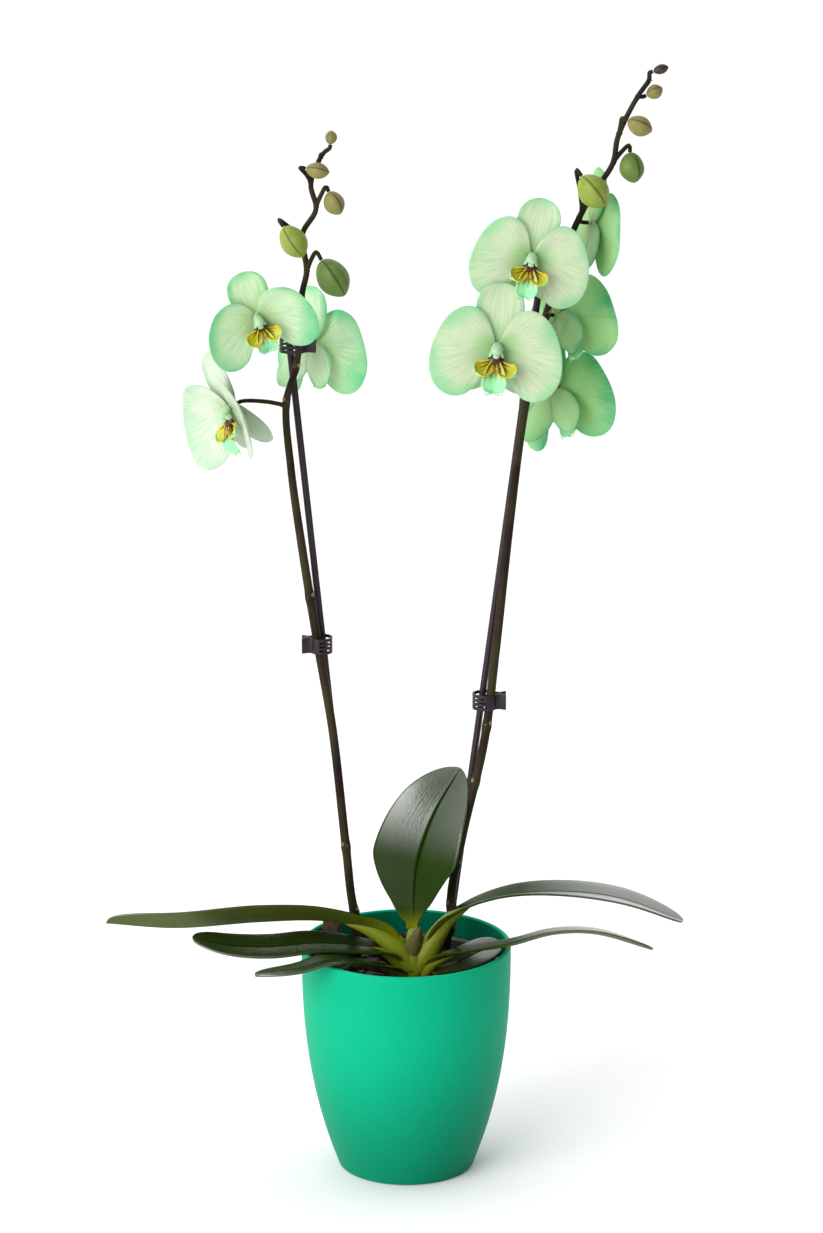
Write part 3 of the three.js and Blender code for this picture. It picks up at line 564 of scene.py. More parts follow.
class ORCHID_OT_pots(bpy.types.Operator):
    """Makes the cover pot and the nursery pot in it"""

    bl_idname = "orchid.pots"
    bl_label = "Pots"

    def execute(self, context):
        settings = context.scene.orchid_pot
        wall = settings.wall / MM
        edge = 2.5
        lip = wall / 2
        steps = 28
        side = [edge + (RIM - lip - edge) * i / steps for i in range(steps + 1)]
        outline = [(0, 0), (cover_radius(edge) - edge - 3, 0)]
        outline += arc((cover_radius(edge) - edge, edge), edge, -90, 0)[:-1]
        outline += [(cover_radius(z), z) for z in side]
        outline += arc((RIM_RADIUS - lip, RIM - lip), lip, 0, 180, 10)[1:-1]
        outline += [(cover_radius(z) - wall, z) for z in reversed(side)]
        outline += arc((cover_radius(edge) - wall - 2, wall + 2.4), 2, 0, -90)[1:]
        outline += [(0, wall + 0.4)]
        bm = bmesh.new()
        lathe(bm, outline, 128)
        piece("cover_pot_shell", bm, [moulded_polypropylene(settings)], ["cover_pot"])

        # The nursery pot: a thin cone with a rolled rim.
        foot = 37.5
        thin = 1.1
        body = NURSERY_RADIUS - 2
        outer = [(foot + (body - foot) * t, NURSERY_FOOT + (NURSERY_RIM - 2.4 - NURSERY_FOOT) * t)
                 for t in (0, 0.25, 0.5, 0.75, 1)]
        outline = [(0, NURSERY_FOOT), *outer, (NURSERY_RADIUS, NURSERY_RIM - 2.4)]
        outline += arc((NURSERY_RADIUS - 0.8, NURSERY_RIM - 0.8), 0.8, 0, 90, 4)
        outline += [(body - thin, NURSERY_RIM)]
        outline += [(r - thin, max(z, NURSERY_FOOT + thin)) for r, z in reversed(outer)]
        outline += [(0, NURSERY_FOOT + thin)]
        bm = bmesh.new()
        lathe(bm, outline, 72)
        piece("nursery_pot_shell", bm, [thin_nursery_plastic(settings)], ["nursery_pot"])
        return {"FINISHED"}


class ORCHID_OT_bark(bpy.types.Operator):
    """Fills the nursery pot with a bed of bark and loose chips"""

    bl_idname = "orchid.bark"
    bl_label = "Bark"

    def execute(self, context):
        settings = context.scene.orchid_pot
        bark = damp_bark(settings)
        inside = NURSERY_RADIUS - 2 - 1.1 - GAP
        bm = bmesh.new()
        outline = [(0, NURSERY_FOOT + 2), (35.5, NURSERY_FOOT + 2), (inside - 1.5, BARK_TOP - 2)]
        outline += [(inside * share, BARK_TOP - 1) for share in (0.95, 0.8, 0.6, 0.4, 0.2)] + [(0, BARK_TOP - 1)]
        lathe(bm, outline, 48)
        piece("bark_bed", bm, [bark], ["bark_medium"])

        rng = random.Random(11)
        bm = bmesh.new()
        for _ in range(settings.chips):
            out = inside * 0.93 * math.sqrt(rng.random())
            turn = rng.uniform(0, math.tau)
            long = rng.uniform(3, 6.5)
            size = Vector((long, long * rng.uniform(0.45, 0.8), long * rng.uniform(0.22, 0.4)))
            out = min(out, inside - long)
            spot = Vector((out * math.cos(turn), out * math.sin(turn), BARK_TOP + rng.uniform(-2.5, 2.4)))
            tilt = Matrix.Rotation(rng.uniform(0, math.tau), 4, "Z") @ Matrix.Rotation(rng.gauss(0, 0.5), 4, "X")
            place = Matrix.Translation(spot * MM) @ tilt @ Matrix.Diagonal((*(size * MM), 1))
            first = len(bm.verts)
            bmesh.ops.create_icosphere(bm, subdivisions=1, radius=1)
            bm.verts.ensure_lookup_table()
            verts = bm.verts[first:]
            shift = Vector((rng.random(), rng.random(), rng.random())) * 50
            for vert in verts:
                boxy = Vector([math.copysign(abs(c) ** 0.55, c) for c in vert.co])
                vert.co = boxy + noise.noise_vector(vert.co * 0.9 + shift) * 0.4
            bmesh.ops.transform(bm, matrix=place, verts=verts)
        piece("bark_chips", bm, [bark], bevel=0.25 * MM)

        # One tall chunk leans in the pot's back left.
        bm = bmesh.new()
        made = bmesh.ops.create_cube(bm, size=1)
        bmesh.ops.subdivide_edges(bm, edges=bm.edges, cuts=4, use_grid_fill=True)
        place = Matrix.Translation(Vector((-49, 30, rim(-6))) * MM) @ Matrix.Rotation(0.12, 4, "Y")
        place @= Matrix.Rotation(-0.5, 4, "Z") @ Matrix.Diagonal((12 * MM, 7 * MM, 26 * MM, 1))
        for vert in bm.verts:
            vert.co += noise.noise_vector(vert.co * 2.3) * 0.16
        bmesh.ops.transform(bm, matrix=place, verts=bm.verts)
        piece("bark_chunk", bm, [bark], levels=1)
        return {"FINISHED"}


# ---- Leaves, crown and roots ----------------------------------------------------------------------------


def leaf_skin(name, settings, under):
    """A fleshy strap leaf: waxed and glossy above with fine lines along it, matt and paler below."""
    made, tree = new_material(name)
    place = node(tree, "TexCoord")
    axes = node(tree, "SeparateXYZ", links={0: place.outputs["UV"]})
    mottle = node(tree, "TexNoise", links={"Vector": place.outputs["Object"], "Scale": 45, "Detail": 4})
    # About forty lines across a 40 mm leaf, a millimetre apart.
    drawn = node(tree, "Mapping", links={"Vector": place.outputs["UV"], "Scale": (40, 1.2, 1)})
    lines = node(tree, "TexNoise", {"noise_dimensions": "2D"}, {"Vector": drawn, "Scale": 1, "Detail": 2})
    main = settings.under if under else settings.upper
    light = [min(1, c * 1.5 + 0.004) for c in main]
    dark = [c * 0.72 for c in main]
    streak = node(tree, "Mix", {"data_type": "RGBA"}, {0: lines, 6: rgba(dark), 7: rgba(light)})
    blotch = node(tree, "MapRange", links={0: mottle, 1: 0.3, 2: 0.7})
    tone = node(tree, "Mix", {"data_type": "RGBA"}, {0: blotch, 6: streak.outputs[2], 7: rgba(main)})
    # The foot of the leaf fades to the crown's yellow-green.
    foot = node(tree, "MapRange", {"interpolation_type": "SMOOTHSTEP"},
                {0: axes.outputs[1], 1: 0.34 if under else 0.24, 2: 0.06, 3: 0, 4: 1})
    faded = node(tree, "Mix", {"data_type": "RGBA"}, {0: foot, 6: tone.outputs[2], 7: rgba(settings.crown)})
    off = node(tree, "Math", {"operation": "SUBTRACT"}, {0: axes.outputs[0], 1: 0.5})
    away = node(tree, "Math", {"operation": "ABSOLUTE"}, {0: off})
    # The midrib: on the upper side painted shade darkens its groove; on the underside it is paler.
    rib = node(tree, "MapRange", {"interpolation_type": "SMOOTHSTEP"}, {0: away, 1: 0.03, 2: 0.004, 3: 0, 4: 0.8})
    ribbed = node(tree, "Mix", {"data_type": "RGBA"},
                  {0: rib, 6: faded.outputs[2], 7: rgba([c * (1.25 if under else 0.35) for c in main])})
    pores = node(tree, "TexNoise", links={"Vector": place.outputs["Object"], "Scale": 620, "Detail": 2})
    relief = node(tree, "Math", {"operation": "MULTIPLY_ADD"}, {0: lines, 1: 0.45, 2: pores})
    bump = node(tree, "Bump", links={"Height": relief, "Strength": 0.45, "Distance": 0.4 * MM})
    gloss = node(tree, "MapRange", links={0: mottle, 3: 0.4 if under else 0.22, 4: 0.6 if under else 0.32})
    grown = node(tree, "MapRange", {"interpolation_type": "SMOOTHSTEP"}, {0: axes.outputs[1], 1: 0.42, 2: 0.68, 3: 0.03, 4: 1})
    # The midrib's sharp groove catches no light.
    groove = node(tree, "MapRange", {"interpolation_type": "SMOOTHSTEP"}, {0: away, 1: 0.012, 2: 0.05, 3: 0, 4: 1})
    waxed = node(tree, "Math", {"operation": "MULTIPLY"}, {0: groove, 1: grown})
    shine = node(tree, "Math", {"operation": "MULTIPLY"}, {0: waxed, 1: 0.22 if under else 0.9})
    wax = node(tree, "Math", {"operation": "MULTIPLY"}, {0: waxed, 1: 0.02 if under else 0.9})
    surface = node(tree, "BsdfPrincipled", links={
        "Base Color": ribbed.outputs[2], "Roughness": gloss, "IOR": 1.46, "Normal": bump,
        "Specular IOR Level": shine, "Coat Weight": wax, "Coat Roughness": 0.2})
    node(tree, "OutputMaterial", links={"Surface": surface})
    return made


def crown_flesh(settings):
    """Fresh leaf sheaths, pressed together: pale yellow-green, satin, with a dry brown scar or two."""
    made, tree = new_material("fresh leaf sheath, satin")
    place = node(tree, "TexCoord").outputs["Object"]
    drawn = node(tree, "Mapping", links={"Vector": place, "Scale": (1, 1, 0.12)})
    lines = node(tree, "TexNoise", links={"Vector": drawn, "Scale": 900, "Detail": 2})
    patch = node(tree, "TexNoise", links={"Vector": place, "Scale": 120, "Detail": 3})
    scar = node(tree, "MapRange", {"interpolation_type": "SMOOTHSTEP"}, {0: patch, 1: 0.62, 2: 0.74})
    green = rgba(srgb("76861a"))
    tone = node(tree, "Mix", {"data_type": "RGBA"}, {0: lines, 6: rgba(settings.crown), 7: green})
    dry = node(tree, "Mix", {"data_type": "RGBA"}, {0: scar, 6: tone.outputs[2], 7: rgba(srgb("7a5a2c"))})
    bump = node(tree, "Bump", links={"Height": lines, "Strength": 0.2, "Distance": 0.3 * MM})
    surface = node(tree, "BsdfPrincipled", links={
        "Base Color": dry.outputs[2], "Roughness": 0.42, "IOR": 1.45, "Specular IOR Level": 0.25, "Normal": bump})
    node(tree, "OutputMaterial", links={"Surface": surface})
    return made


def felted_root(settings):
    """A dry aerial root: silver-beige felt with darker cracks."""
    made, tree = new_material("aerial root, dry felt")
    place = node(tree, "TexCoord").outputs["Object"]
    felt = node(tree, "TexNoise", links={"Vector": place, "Scale": 700, "Detail": 4, "Roughness": 0.7})
    patch = node(tree, "TexNoise", links={"Vector": place, "Scale": 110, "Detail": 2})
    aged = node(tree, "MapRange", links={0: patch, 1: 0.4, 2: 0.65})
    tone = node(tree, "Mix", {"data_type": "RGBA"}, {0: aged, 6: rgba(settings.root), 7: rgba(srgb("54462f"))})
    bump = node(tree, "Bump", links={"Height": felt, "Strength": 0.5, "Distance": 0.3 * MM})
    surface = node(tree, "BsdfPrincipled", links={
        "Base Color": tone.outputs[2], "Roughness": 0.82, "IOR": 1.4, "Normal": bump})
    node(tree, "OutputMaterial", links={"Surface": surface})
    return made


class ORCHID_OT_leaves(bpy.types.Operator):
    """Makes the seven leaves"""

    bl_idname = "orchid.leaves"
    bl_label = "Leaves"

    def execute(self, context):
        settings = context.scene.orchid_leaf
        upper = leaf_skin("orchid leaf, waxed upper side", settings, False)
        under = leaf_skin("orchid leaf, matt underside", settings, True)
        for name, leaf in LEAVES.items():
            curve = Curve(leaf["points"])
            phase = len(name)

            def half_at(share, x):
                return blade_half(
                    share, leaf["width"], leaf["peak"], leaf["roundness"], leaf["base"], leaf["foot"])

            def rise_at(share, x):
                half = half_at(share, x)
                valley = leaf["fold"] * (math.hypot(x, 0.025) - 0.025)
                channel = 0.5 * max(0, 1 - share / 0.16) * x * x
                wave = 0.02 * x * x * math.sin(share * 11 + phase)
                return half * (valley + channel + wave - leaf["droop"] * x**4)

            bm = bmesh.new()
            blade(bm, curve, leaf["face"], half_at, rise_at, leaf["roll"], 22, 56)
            piece(name + "_blade", bm, [upper, under], [name], wall=settings.thickness * 0.85, levels=1,
                  under=1)
        return {"FINISHED"}


class ORCHID_OT_crown(bpy.types.Operator):
    """Makes the crown that the leaves grow from, its sheaths and the aerial roots"""

    bl_idname = "orchid.crown"
    bl_label = "Crown and roots"

    def execute(self, context):
        settings = context.scene.orchid_leaf
        flesh = crown_flesh(settings)
        heart = Curve([CROWN + Vector((0, 0, rim(-40))), CROWN + Vector((0.3, 0, rim(-26))),
                       CROWN + Vector((0, 0.5, rim(-8))), CROWN + Vector((0, 2.4, rim(8.6)))])
        bm = bmesh.new()
        tube(bm, heart, lambda s: CROWN_RADIUS * (0.9 + 0.08 * math.sin(5 * s) - 0.4 * s**6), 28, 24)
        piece("crown_heart", bm, [flesh], ["crown_stem"])

        # Fleshy leaf feet clasp the crown and thin out under each leaf's midrib.
        for name, leaf in LEAVES.items():
            if leaf["face"].z < 0.5:
                continue
            line = Curve(leaf["points"])
            high = line.at(0).z > rim(-5)
            stout = leaf["base"] * (0.64 if high else 0.42)
            foot = line.at(0)
            heel = CROWN + (foot - CROWN - UP * foot.z) * 0.15 + UP * (foot.z - 16)
            reach = (38 if high else 24) / line.lengths[-1]
            arm = Curve([heel, foot.lerp(heel, 0.2) - UP * 2, line.at(reach * 0.25) - UP * 0.6,
                         line.at(reach * 0.6) - UP * 0.3, line.at(reach)])
            bm = bmesh.new()
            tube(bm, arm, lambda s: stout * (1.08 - 0.98 * s**2), 24, 28)
            piece("crown_foot_" + name, bm, [flesh])

        # Old sheaths: the torn collar of a fallen leaf, and a dry papery scale.
        bm = bmesh.new()
        for turn, low, high in ((262, -38, -17), (118, -38, -12), (20, -36, -20)):
            side = around(1, turn, 0) - Vector((0, 0, RIM))
            foot = CROWN + UP * rim(low)
            line = Curve([foot + side * 7.6, foot + side * 8.6 + UP * (high - low) * 0.5,
                          CROWN + side * 9.6 + UP * rim(high)])
            blade(bm, line, side, lambda s, x: 7.2 - 3.2 * s, lambda s, x: -4.2 * x * x * (1 - 0.5 * s), across=14,
                  along=14)
        piece("crown_collars", bm, [flesh], wall=1.0 * MM, levels=1)
        bm = bmesh.new()
        line = Curve([CROWN + Vector((-0.5, -7, rim(-6))), CROWN + Vector((0.8, -6.6, rim(2))),
                      CROWN + Vector((4.2, -4, rim(12)))])
        blade(bm, line, Vector((0.1, -1, 0.1)), lambda s, x: blade_half(s, 12, 0.25, 1.4, 9),
              lambda s, x: -3 * x * x, across=12, along=16)
        piece("crown_scale", bm, [dry_bract("sheath, withered", srgb("5a5420"))], wall=0.6 * MM, levels=1)

        felt = felted_root(settings)
        for name, points in ROOTS.items():
            bm = bmesh.new()
            tube(bm, Curve(points), lambda s: 2.3 + 0.15 * math.sin(26 * s), 14, 40)
            piece(name + "_felt", bm, [felt], [name])
        return {"FINISHED"}


# ---- Spikes, stakes and clips ---------------------------------------------------------------------------


def stem_skin(settings):
    """The skin of a flower spike: satin green-brown, flushed purple, with fine lines up it."""
    made, tree = new_material("flower spike, satin skin")
    place = node(tree, "TexCoord").outputs["Object"]
    drawn = node(tree, "Mapping", links={"Vector": place, "Scale": (1, 1, 0.06)})
    lines = node(tree, "TexNoise", links={"Vector": drawn, "Scale": 1300, "Detail": 2})
    patch = node(tree, "TexNoise", links={"Vector": place, "Scale": 28, "Detail": 3})
    flush = node(tree, "MapRange", {"interpolation_type": "SMOOTHSTEP"}, {0: patch, 1: 0.38, 2: 0.62})
    tone = node(tree, "Mix", {"data_type": "RGBA"}, {0: flush, 6: rgba(settings.stem), 7: rgba(settings.flush)})
    pale = rgba([min(1, c * 1.7) for c in settings.stem])
    streak = node(tree, "MapRange", links={0: lines, 1: 0.45, 2: 0.75, 3: 0, 4: 0.3})
    drawn_tone = node(tree, "Mix", {"data_type": "RGBA"}, {0: streak, 6: tone.outputs[2], 7: pale})
    bump = node(tree, "Bump", links={"Height": lines, "Strength": 0.25, "Distance": 0.2 * MM})
    surface = node(tree, "BsdfPrincipled", links={
        "Base Color": drawn_tone.outputs[2], "Roughness": 0.52, "IOR": 1.45, "Specular IOR Level": 0.08, "Normal": bump})
    node(tree, "OutputMaterial", links={"Surface": surface})
    return made


def dry_bract(name, base):
    """A scale that has dried: papery, matt and finely lined."""
    made, tree = new_material(name)
    place = node(tree, "TexCoord").outputs["Object"]
    fibre = node(tree, "TexNoise", links={"Vector": place, "Scale": 800, "Detail": 3})
    dark = rgba([c * 0.45 for c in base])
    tone = node(tree, "Mix", {"data_type": "RGBA"}, {0: fibre, 6: dark, 7: rgba(base)})
    surface = node(tree, "BsdfPrincipled", links={
        "Base Color": tone.outputs[2], "Roughness": 0.75, "IOR": 1.4})
    node(tree, "OutputMaterial", links={"Surface": surface})
    return made


def coated_plastic(name, base):
    """Extruded or moulded PVC in a dark purple-brown: satin, with fine draw lines."""
    made, tree = new_material(name)
    place = node(tree, "TexCoord").outputs["Object"]
    drawn = node(tree, "Mapping", links={"Vector": place, "Scale": (1, 1, 0.05)})
    lines = node(tree, "TexNoise", links={"Vector": drawn, "Scale": 1500, "Detail": 2})
    light = rgba([c * 1.6 + 0.004 for c in base])
    tone = node(tree, "Mix", {"data_type": "RGBA"}, {0: lines, 6: rgba(base), 7: light})
    gloss = node(tree, "MapRange", links={0: lines, 3: 0.3, 4: 0.48})
    bump = node(tree, "Bump", links={"Height": lines, "Strength": 0.15, "Distance": 0.15 * MM})
    surface = node(tree, "BsdfPrincipled", links={
        "Base Color": tone.outputs[2], "Roughness": gloss, "IOR": 1.53, "Specular IOR Level": 0.2, "Normal": bump})
    node(tree, "OutputMaterial", links={"Surface": surface})
    return made


def spike_curve(side):
    """A spike's line from the crown's foot to its tip."""
    spike = SPIKES[side]
    return Curve([spike["foot"], *(Vector((x, y, rim(h))) for x, y, h in spike["line"])])


def spike_radius(share):
    """A spike's radius: stout at the foot, even, then thinning to its tip."""
    foot = max(0, 1 - share / 0.12)
    taper = max(0, (share - 0.5) / 0.5)
    return STEM_MIDDLE + (STEM_FOOT - STEM_MIDDLE) * foot - (STEM_MIDDLE - STEM_TIP) * taper


def pedicel_curve(side, height, end, back, reach):
    """A stalk from inside the spike to a flower's back or a bud's foot."""
    line = spike_curve(side)
    start = line.at(line.share_at_height(rim(height)))
    before = end + back * reach
    lift = start.lerp(before, 0.45) + UP * (reach * 0.25)
    return Curve([start, lift, before, end])


def stalks(side):
    """The stalk of each flower and bud on a spike."""
    for flower in FLOWERS.values():
        if flower["side"] == side:
            back = -Vector(flower["face"]).normalized()
            x, y, height = flower["at"]
            end = Vector((x, y, rim(height))) + back * (HUB_DEPTH * flower["size"] + GAP + 0.2)
            yield pedicel_curve(side, flower["node"], end, back, 5)
    for bud in BUDS.values():
        if bud["side"] == side:
            back = -Vector(bud["tip"]).normalized()
            x, y, height = bud["at"]
            end = Vector((x, y, rim(height))) + back * (bud["size"][0] / 2 + GAP)
            yield pedicel_curve(side, bud["node"], end, back, bud["size"][0] * 0.22)


class ORCHID_OT_spikes(bpy.types.Operator):
    """Makes the two flower spikes with their nodes, scales and stalks, and their stakes"""

    bl_idname = "orchid.spikes"
    bl_label = "Spikes and stakes"

    def execute(self, context):
        settings = context.scene.orchid_stem
        skin = stem_skin(settings)
        bract = dry_bract("dry bract, papery", settings.bract)
        coat = coated_plastic("PVC stake coating, drawn", settings.stake)
        for side, spike in SPIKES.items():
            line = spike_curve(side)
            knots = [line.share_at_height(rim(height)) for height in spike["nodes"]]
            length = line.lengths[-1]

            def radius_at(share):
                swell = sum(math.exp(-(((share - knot) * length / 3.2) ** 2)) for knot in knots)
                return spike_radius(share) * (1 + 0.16 * min(swell, 1))

            bm = bmesh.new()
            tube(bm, line, radius_at, 16, 260)
            for stalk in stalks(side):
                tube(bm, stalk, lambda s: PEDICEL_RADIUS * (1.2 - 0.2 * s + 0.5 * max(0, 1 - s / 0.1)), 10, 22)
            piece(f"spike_{side}_stem", bm, [skin], [f"spike_{side}"])

            # A dry scale hugs the stem at each node.
            bm = bmesh.new()
            for index, knot in enumerate(knots):
                radius = radius_at(knot)
                out = Vector((-1 if index % 2 else 1, -0.75, 0)).normalized()
                foot = line.at(knot)
                rise = line.along(knot)
                scale = Curve([foot + out * (radius - 0.4), foot + out * (radius + 0.1) + rise * 2.4,
                               foot + out * (radius + 0.3) + rise * 4])
                blade(bm, scale, out, lambda s, x: radius * (1.0 - 0.95 * s * s),
                      lambda s, x: -radius * 0.72 * x * x * (1.1 - s * s), across=10, along=10)
            piece(f"spike_{side}_bracts", bm, [bract], wall=0.3 * MM, levels=1)

            top, low = STAKES[side]
            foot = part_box(f"stake_{side}")[0].z / MM + 0.2
            bottom = top.lerp(low, (top.z - foot) / (top.z - low.z))
            bm = bmesh.new()
            tube(bm, Curve([bottom, top.lerp(bottom, 0.5), top]),
                 lambda s: STAKE_RADIUS * min(1, 0.35 + 300 * (1 - s), 0.35 + 300 * s), 18, 300)
            piece(f"stake_{side}_rod", bm, [coat], [f"stake_{side}"])
        return {"FINISHED"}


def claw_place(clip):
    """A clip's middle and half sizes, from the spike and the stake that it holds."""
    line = spike_curve(clip["side"])
    spike = line.at(line.share_at_height(rim(clip["height"])))
    top, low = STAKES[clip["side"]]
    rod = top.lerp(low, (top.z - rim(clip["height"])) / (top.z - low.z))
    half = Vector((abs(spike.x - rod.x) / 2 + STEM_MIDDLE, abs(spike.y - rod.y) / 2 + STEM_MIDDLE))
    return spike.lerp(rod, 0.5), half


def strip(bm, line, low, high):
    """A straight-sided band that follows a flat line, between two heights."""
    made = bmesh.ops.create_grid(bm, x_segments=len(line) - 1, y_segments=1, size=1)
    for vert in made["verts"]:
        x, y = line[round((vert.co.x + 1) / 2 * (len(line) - 1))]
        vert.co = Vector((x, y, high if vert.co.y > 0 else low)) * MM


def claw_jaw(name, clip, holds_pin, plastic, steel, body):
    """One jaw: a palm, curved fingers, a thumb pad and its knuckles. The rear one holds the pin and spring."""
    middle, half = claw_place(clip)
    inner = half + Vector((CLAW["clearance"],) * 2)
    reach = inner.x + CLAW["wall"] / 2
    depth = inner.y + CLAW["wall"] / 2
    pin_x = -(inner.x + CLAW["wall"] + CLAW["barrel"] + GAP + 0.1)
    shelf = -(CLAW["barrel"] + GAP + CLAW["wall"] / 2)
    width = CLAW["width"]

    def bow(start, end, steps):
        angles = [math.radians(start + (end - start) * i / steps) for i in range(steps + 1)]
        stretch = [reach + (CLAW["overhang"] if math.cos(a) > 0 else 0) for a in angles]
        return [(r * math.cos(a), -depth * math.sin(a) - GAP) for r, a in zip(stretch, angles)]

    bm = bmesh.new()
    strip(bm, bow(158, 96, 8), -width / 2, width / 2)
    pitch = width / CLAW["fingers"]
    for i in range(CLAW["fingers"]):
        low = -width / 2 + i * pitch + CLAW["finger_gap"] / 2 * (i > 0)
        high = -width / 2 + (i + 1) * pitch - CLAW["finger_gap"] / 2 * (i < CLAW["fingers"] - 1)
        strip(bm, bow(96, 3, 14), low, high)
    slant = math.radians(CLAW["pad_angle"])
    tip = (pin_x - CLAW["pad"] * math.cos(slant), shelf - CLAW["pad"] * math.sin(slant))
    first = bow(158, 96, 8)[0]
    strip(bm, [tip, (pin_x, shelf), (pin_x + 1.2, shelf), (first[0], min(shelf, first[1])), first], -width / 2, width / 2)
    bmesh.ops.remove_doubles(bm, verts=bm.verts, dist=1e-5)
    turn = Matrix.Rotation(math.pi if clip["hand"] < 0 else 0, 4, "Z")
    if name.endswith("rear") == (clip["hand"] > 0):
        turn = turn @ Matrix.Rotation(math.pi, 4, "X")
    place = Matrix.Translation(middle * MM) @ turn
    bmesh.ops.transform(bm, matrix=place, verts=bm.verts)
    piece(name + "_shell", bm, [plastic], [name], body, wall=CLAW["wall"] * MM, bevel=0.22 * MM)

    third = width / 6
    spans = [(-third + GAP, third - GAP)] if holds_pin else [(-width / 2, -third), (third, width / 2)]
    bm = bmesh.new()
    for low, high in spans:
        barrel = Curve([Vector((pin_x, 0, low)), Vector((pin_x, 0, (low + high) / 2)), Vector((pin_x, 0, high))])
        tube(bm, barrel, lambda s: CLAW["barrel"] * min(1, 0.8 + 3 * s, 0.8 + 3 * (1 - s)), 24, 14)
        web = Matrix.Translation(Vector((pin_x + 0.5, shelf / 2 - 0.3, (low + high) / 2)) * MM)
        web @= Matrix.Diagonal((2 * MM, abs(shelf) * MM, (high - low) * MM, 1))
        bmesh.ops.create_cube(bm, size=1, matrix=web)
    bmesh.ops.transform(bm, matrix=place, verts=bm.verts)
    piece(name + "_knuckles", bm, [plastic], body=body, bevel=0.15 * MM)
    if holds_pin:
        bm = bmesh.new()
        end = width / 2 + 0.5
        tube(bm, Curve([Vector((pin_x, 0, -end)), Vector((pin_x, 0, 0)), Vector((pin_x, 0, end))]),
             lambda s: CLAW["pin"] * min(1, 0.6 + 12 * s, 0.6 + 12 * (1 - s)), 16, 30)
        bmesh.ops.transform(bm, matrix=place, verts=bm.verts)
        piece(name + "_pin", bm, [steel], body=body)

        # The torsion spring: a wire wound five times round the barrel in the middle.
        wire = 0.13
        coil = CLAW["barrel"] + wire + 0.01
        low, high = spans[0]
        turns = []
        for i in range(61):
            angle = math.tau * 5 * i / 60
            rise = low + wire + (high - low - 2 * wire) * i / 60
            turns.append(Vector((pin_x + coil * math.cos(angle), coil * math.sin(angle), rise)))
        bm = bmesh.new()
        tube(bm, Curve(turns, 3), lambda s: wire, 6, 200)
        bmesh.ops.transform(bm, matrix=place, verts=bm.verts)
        piece(name + "_spring", bm, [steel], body=body)


def spring_steel():
    """Drawn spring steel wire: bright with a faint brown film."""
    made, tree = new_material("spring steel, drawn")
    place = node(tree, "TexCoord").outputs["Object"]
    film = node(tree, "TexNoise", links={"Vector": place, "Scale": 600, "Detail": 2})
    tone = node(tree, "Mix", {"data_type": "RGBA"}, {0: film, 6: rgba(srgb("8d8a86")), 7: rgba(srgb("5d554e"))})
    surface = node(tree, "BsdfPrincipled", links={
        "Base Color": tone.outputs[2], "Metallic": 1.0, "Roughness": 0.34})
    node(tree, "OutputMaterial", links={"Surface": surface})
    return made


class ORCHID_OT_clips(bpy.types.Operator):
    """Makes the spring claws that tie the spikes to their stakes"""

    bl_idname = "orchid.clips"
    bl_label = "Clips"

    def execute(self, context):
        plastic = coated_plastic("ABS claw, moulded", context.scene.orchid_stem.clip)
        steel = spring_steel()
        for name, clip in CLIPS.items():
            for which in ("front", "rear"):
                # The pin is held by the rear jaw.
                body = f"{name}_jaw" if which == "front" else "root"
                claw_jaw(f"{name}_{which}", clip, which == "rear", plastic, steel, body)
        return {"FINISHED"}


# ---- Flowers and buds -----------------------------------------------------------------------------------


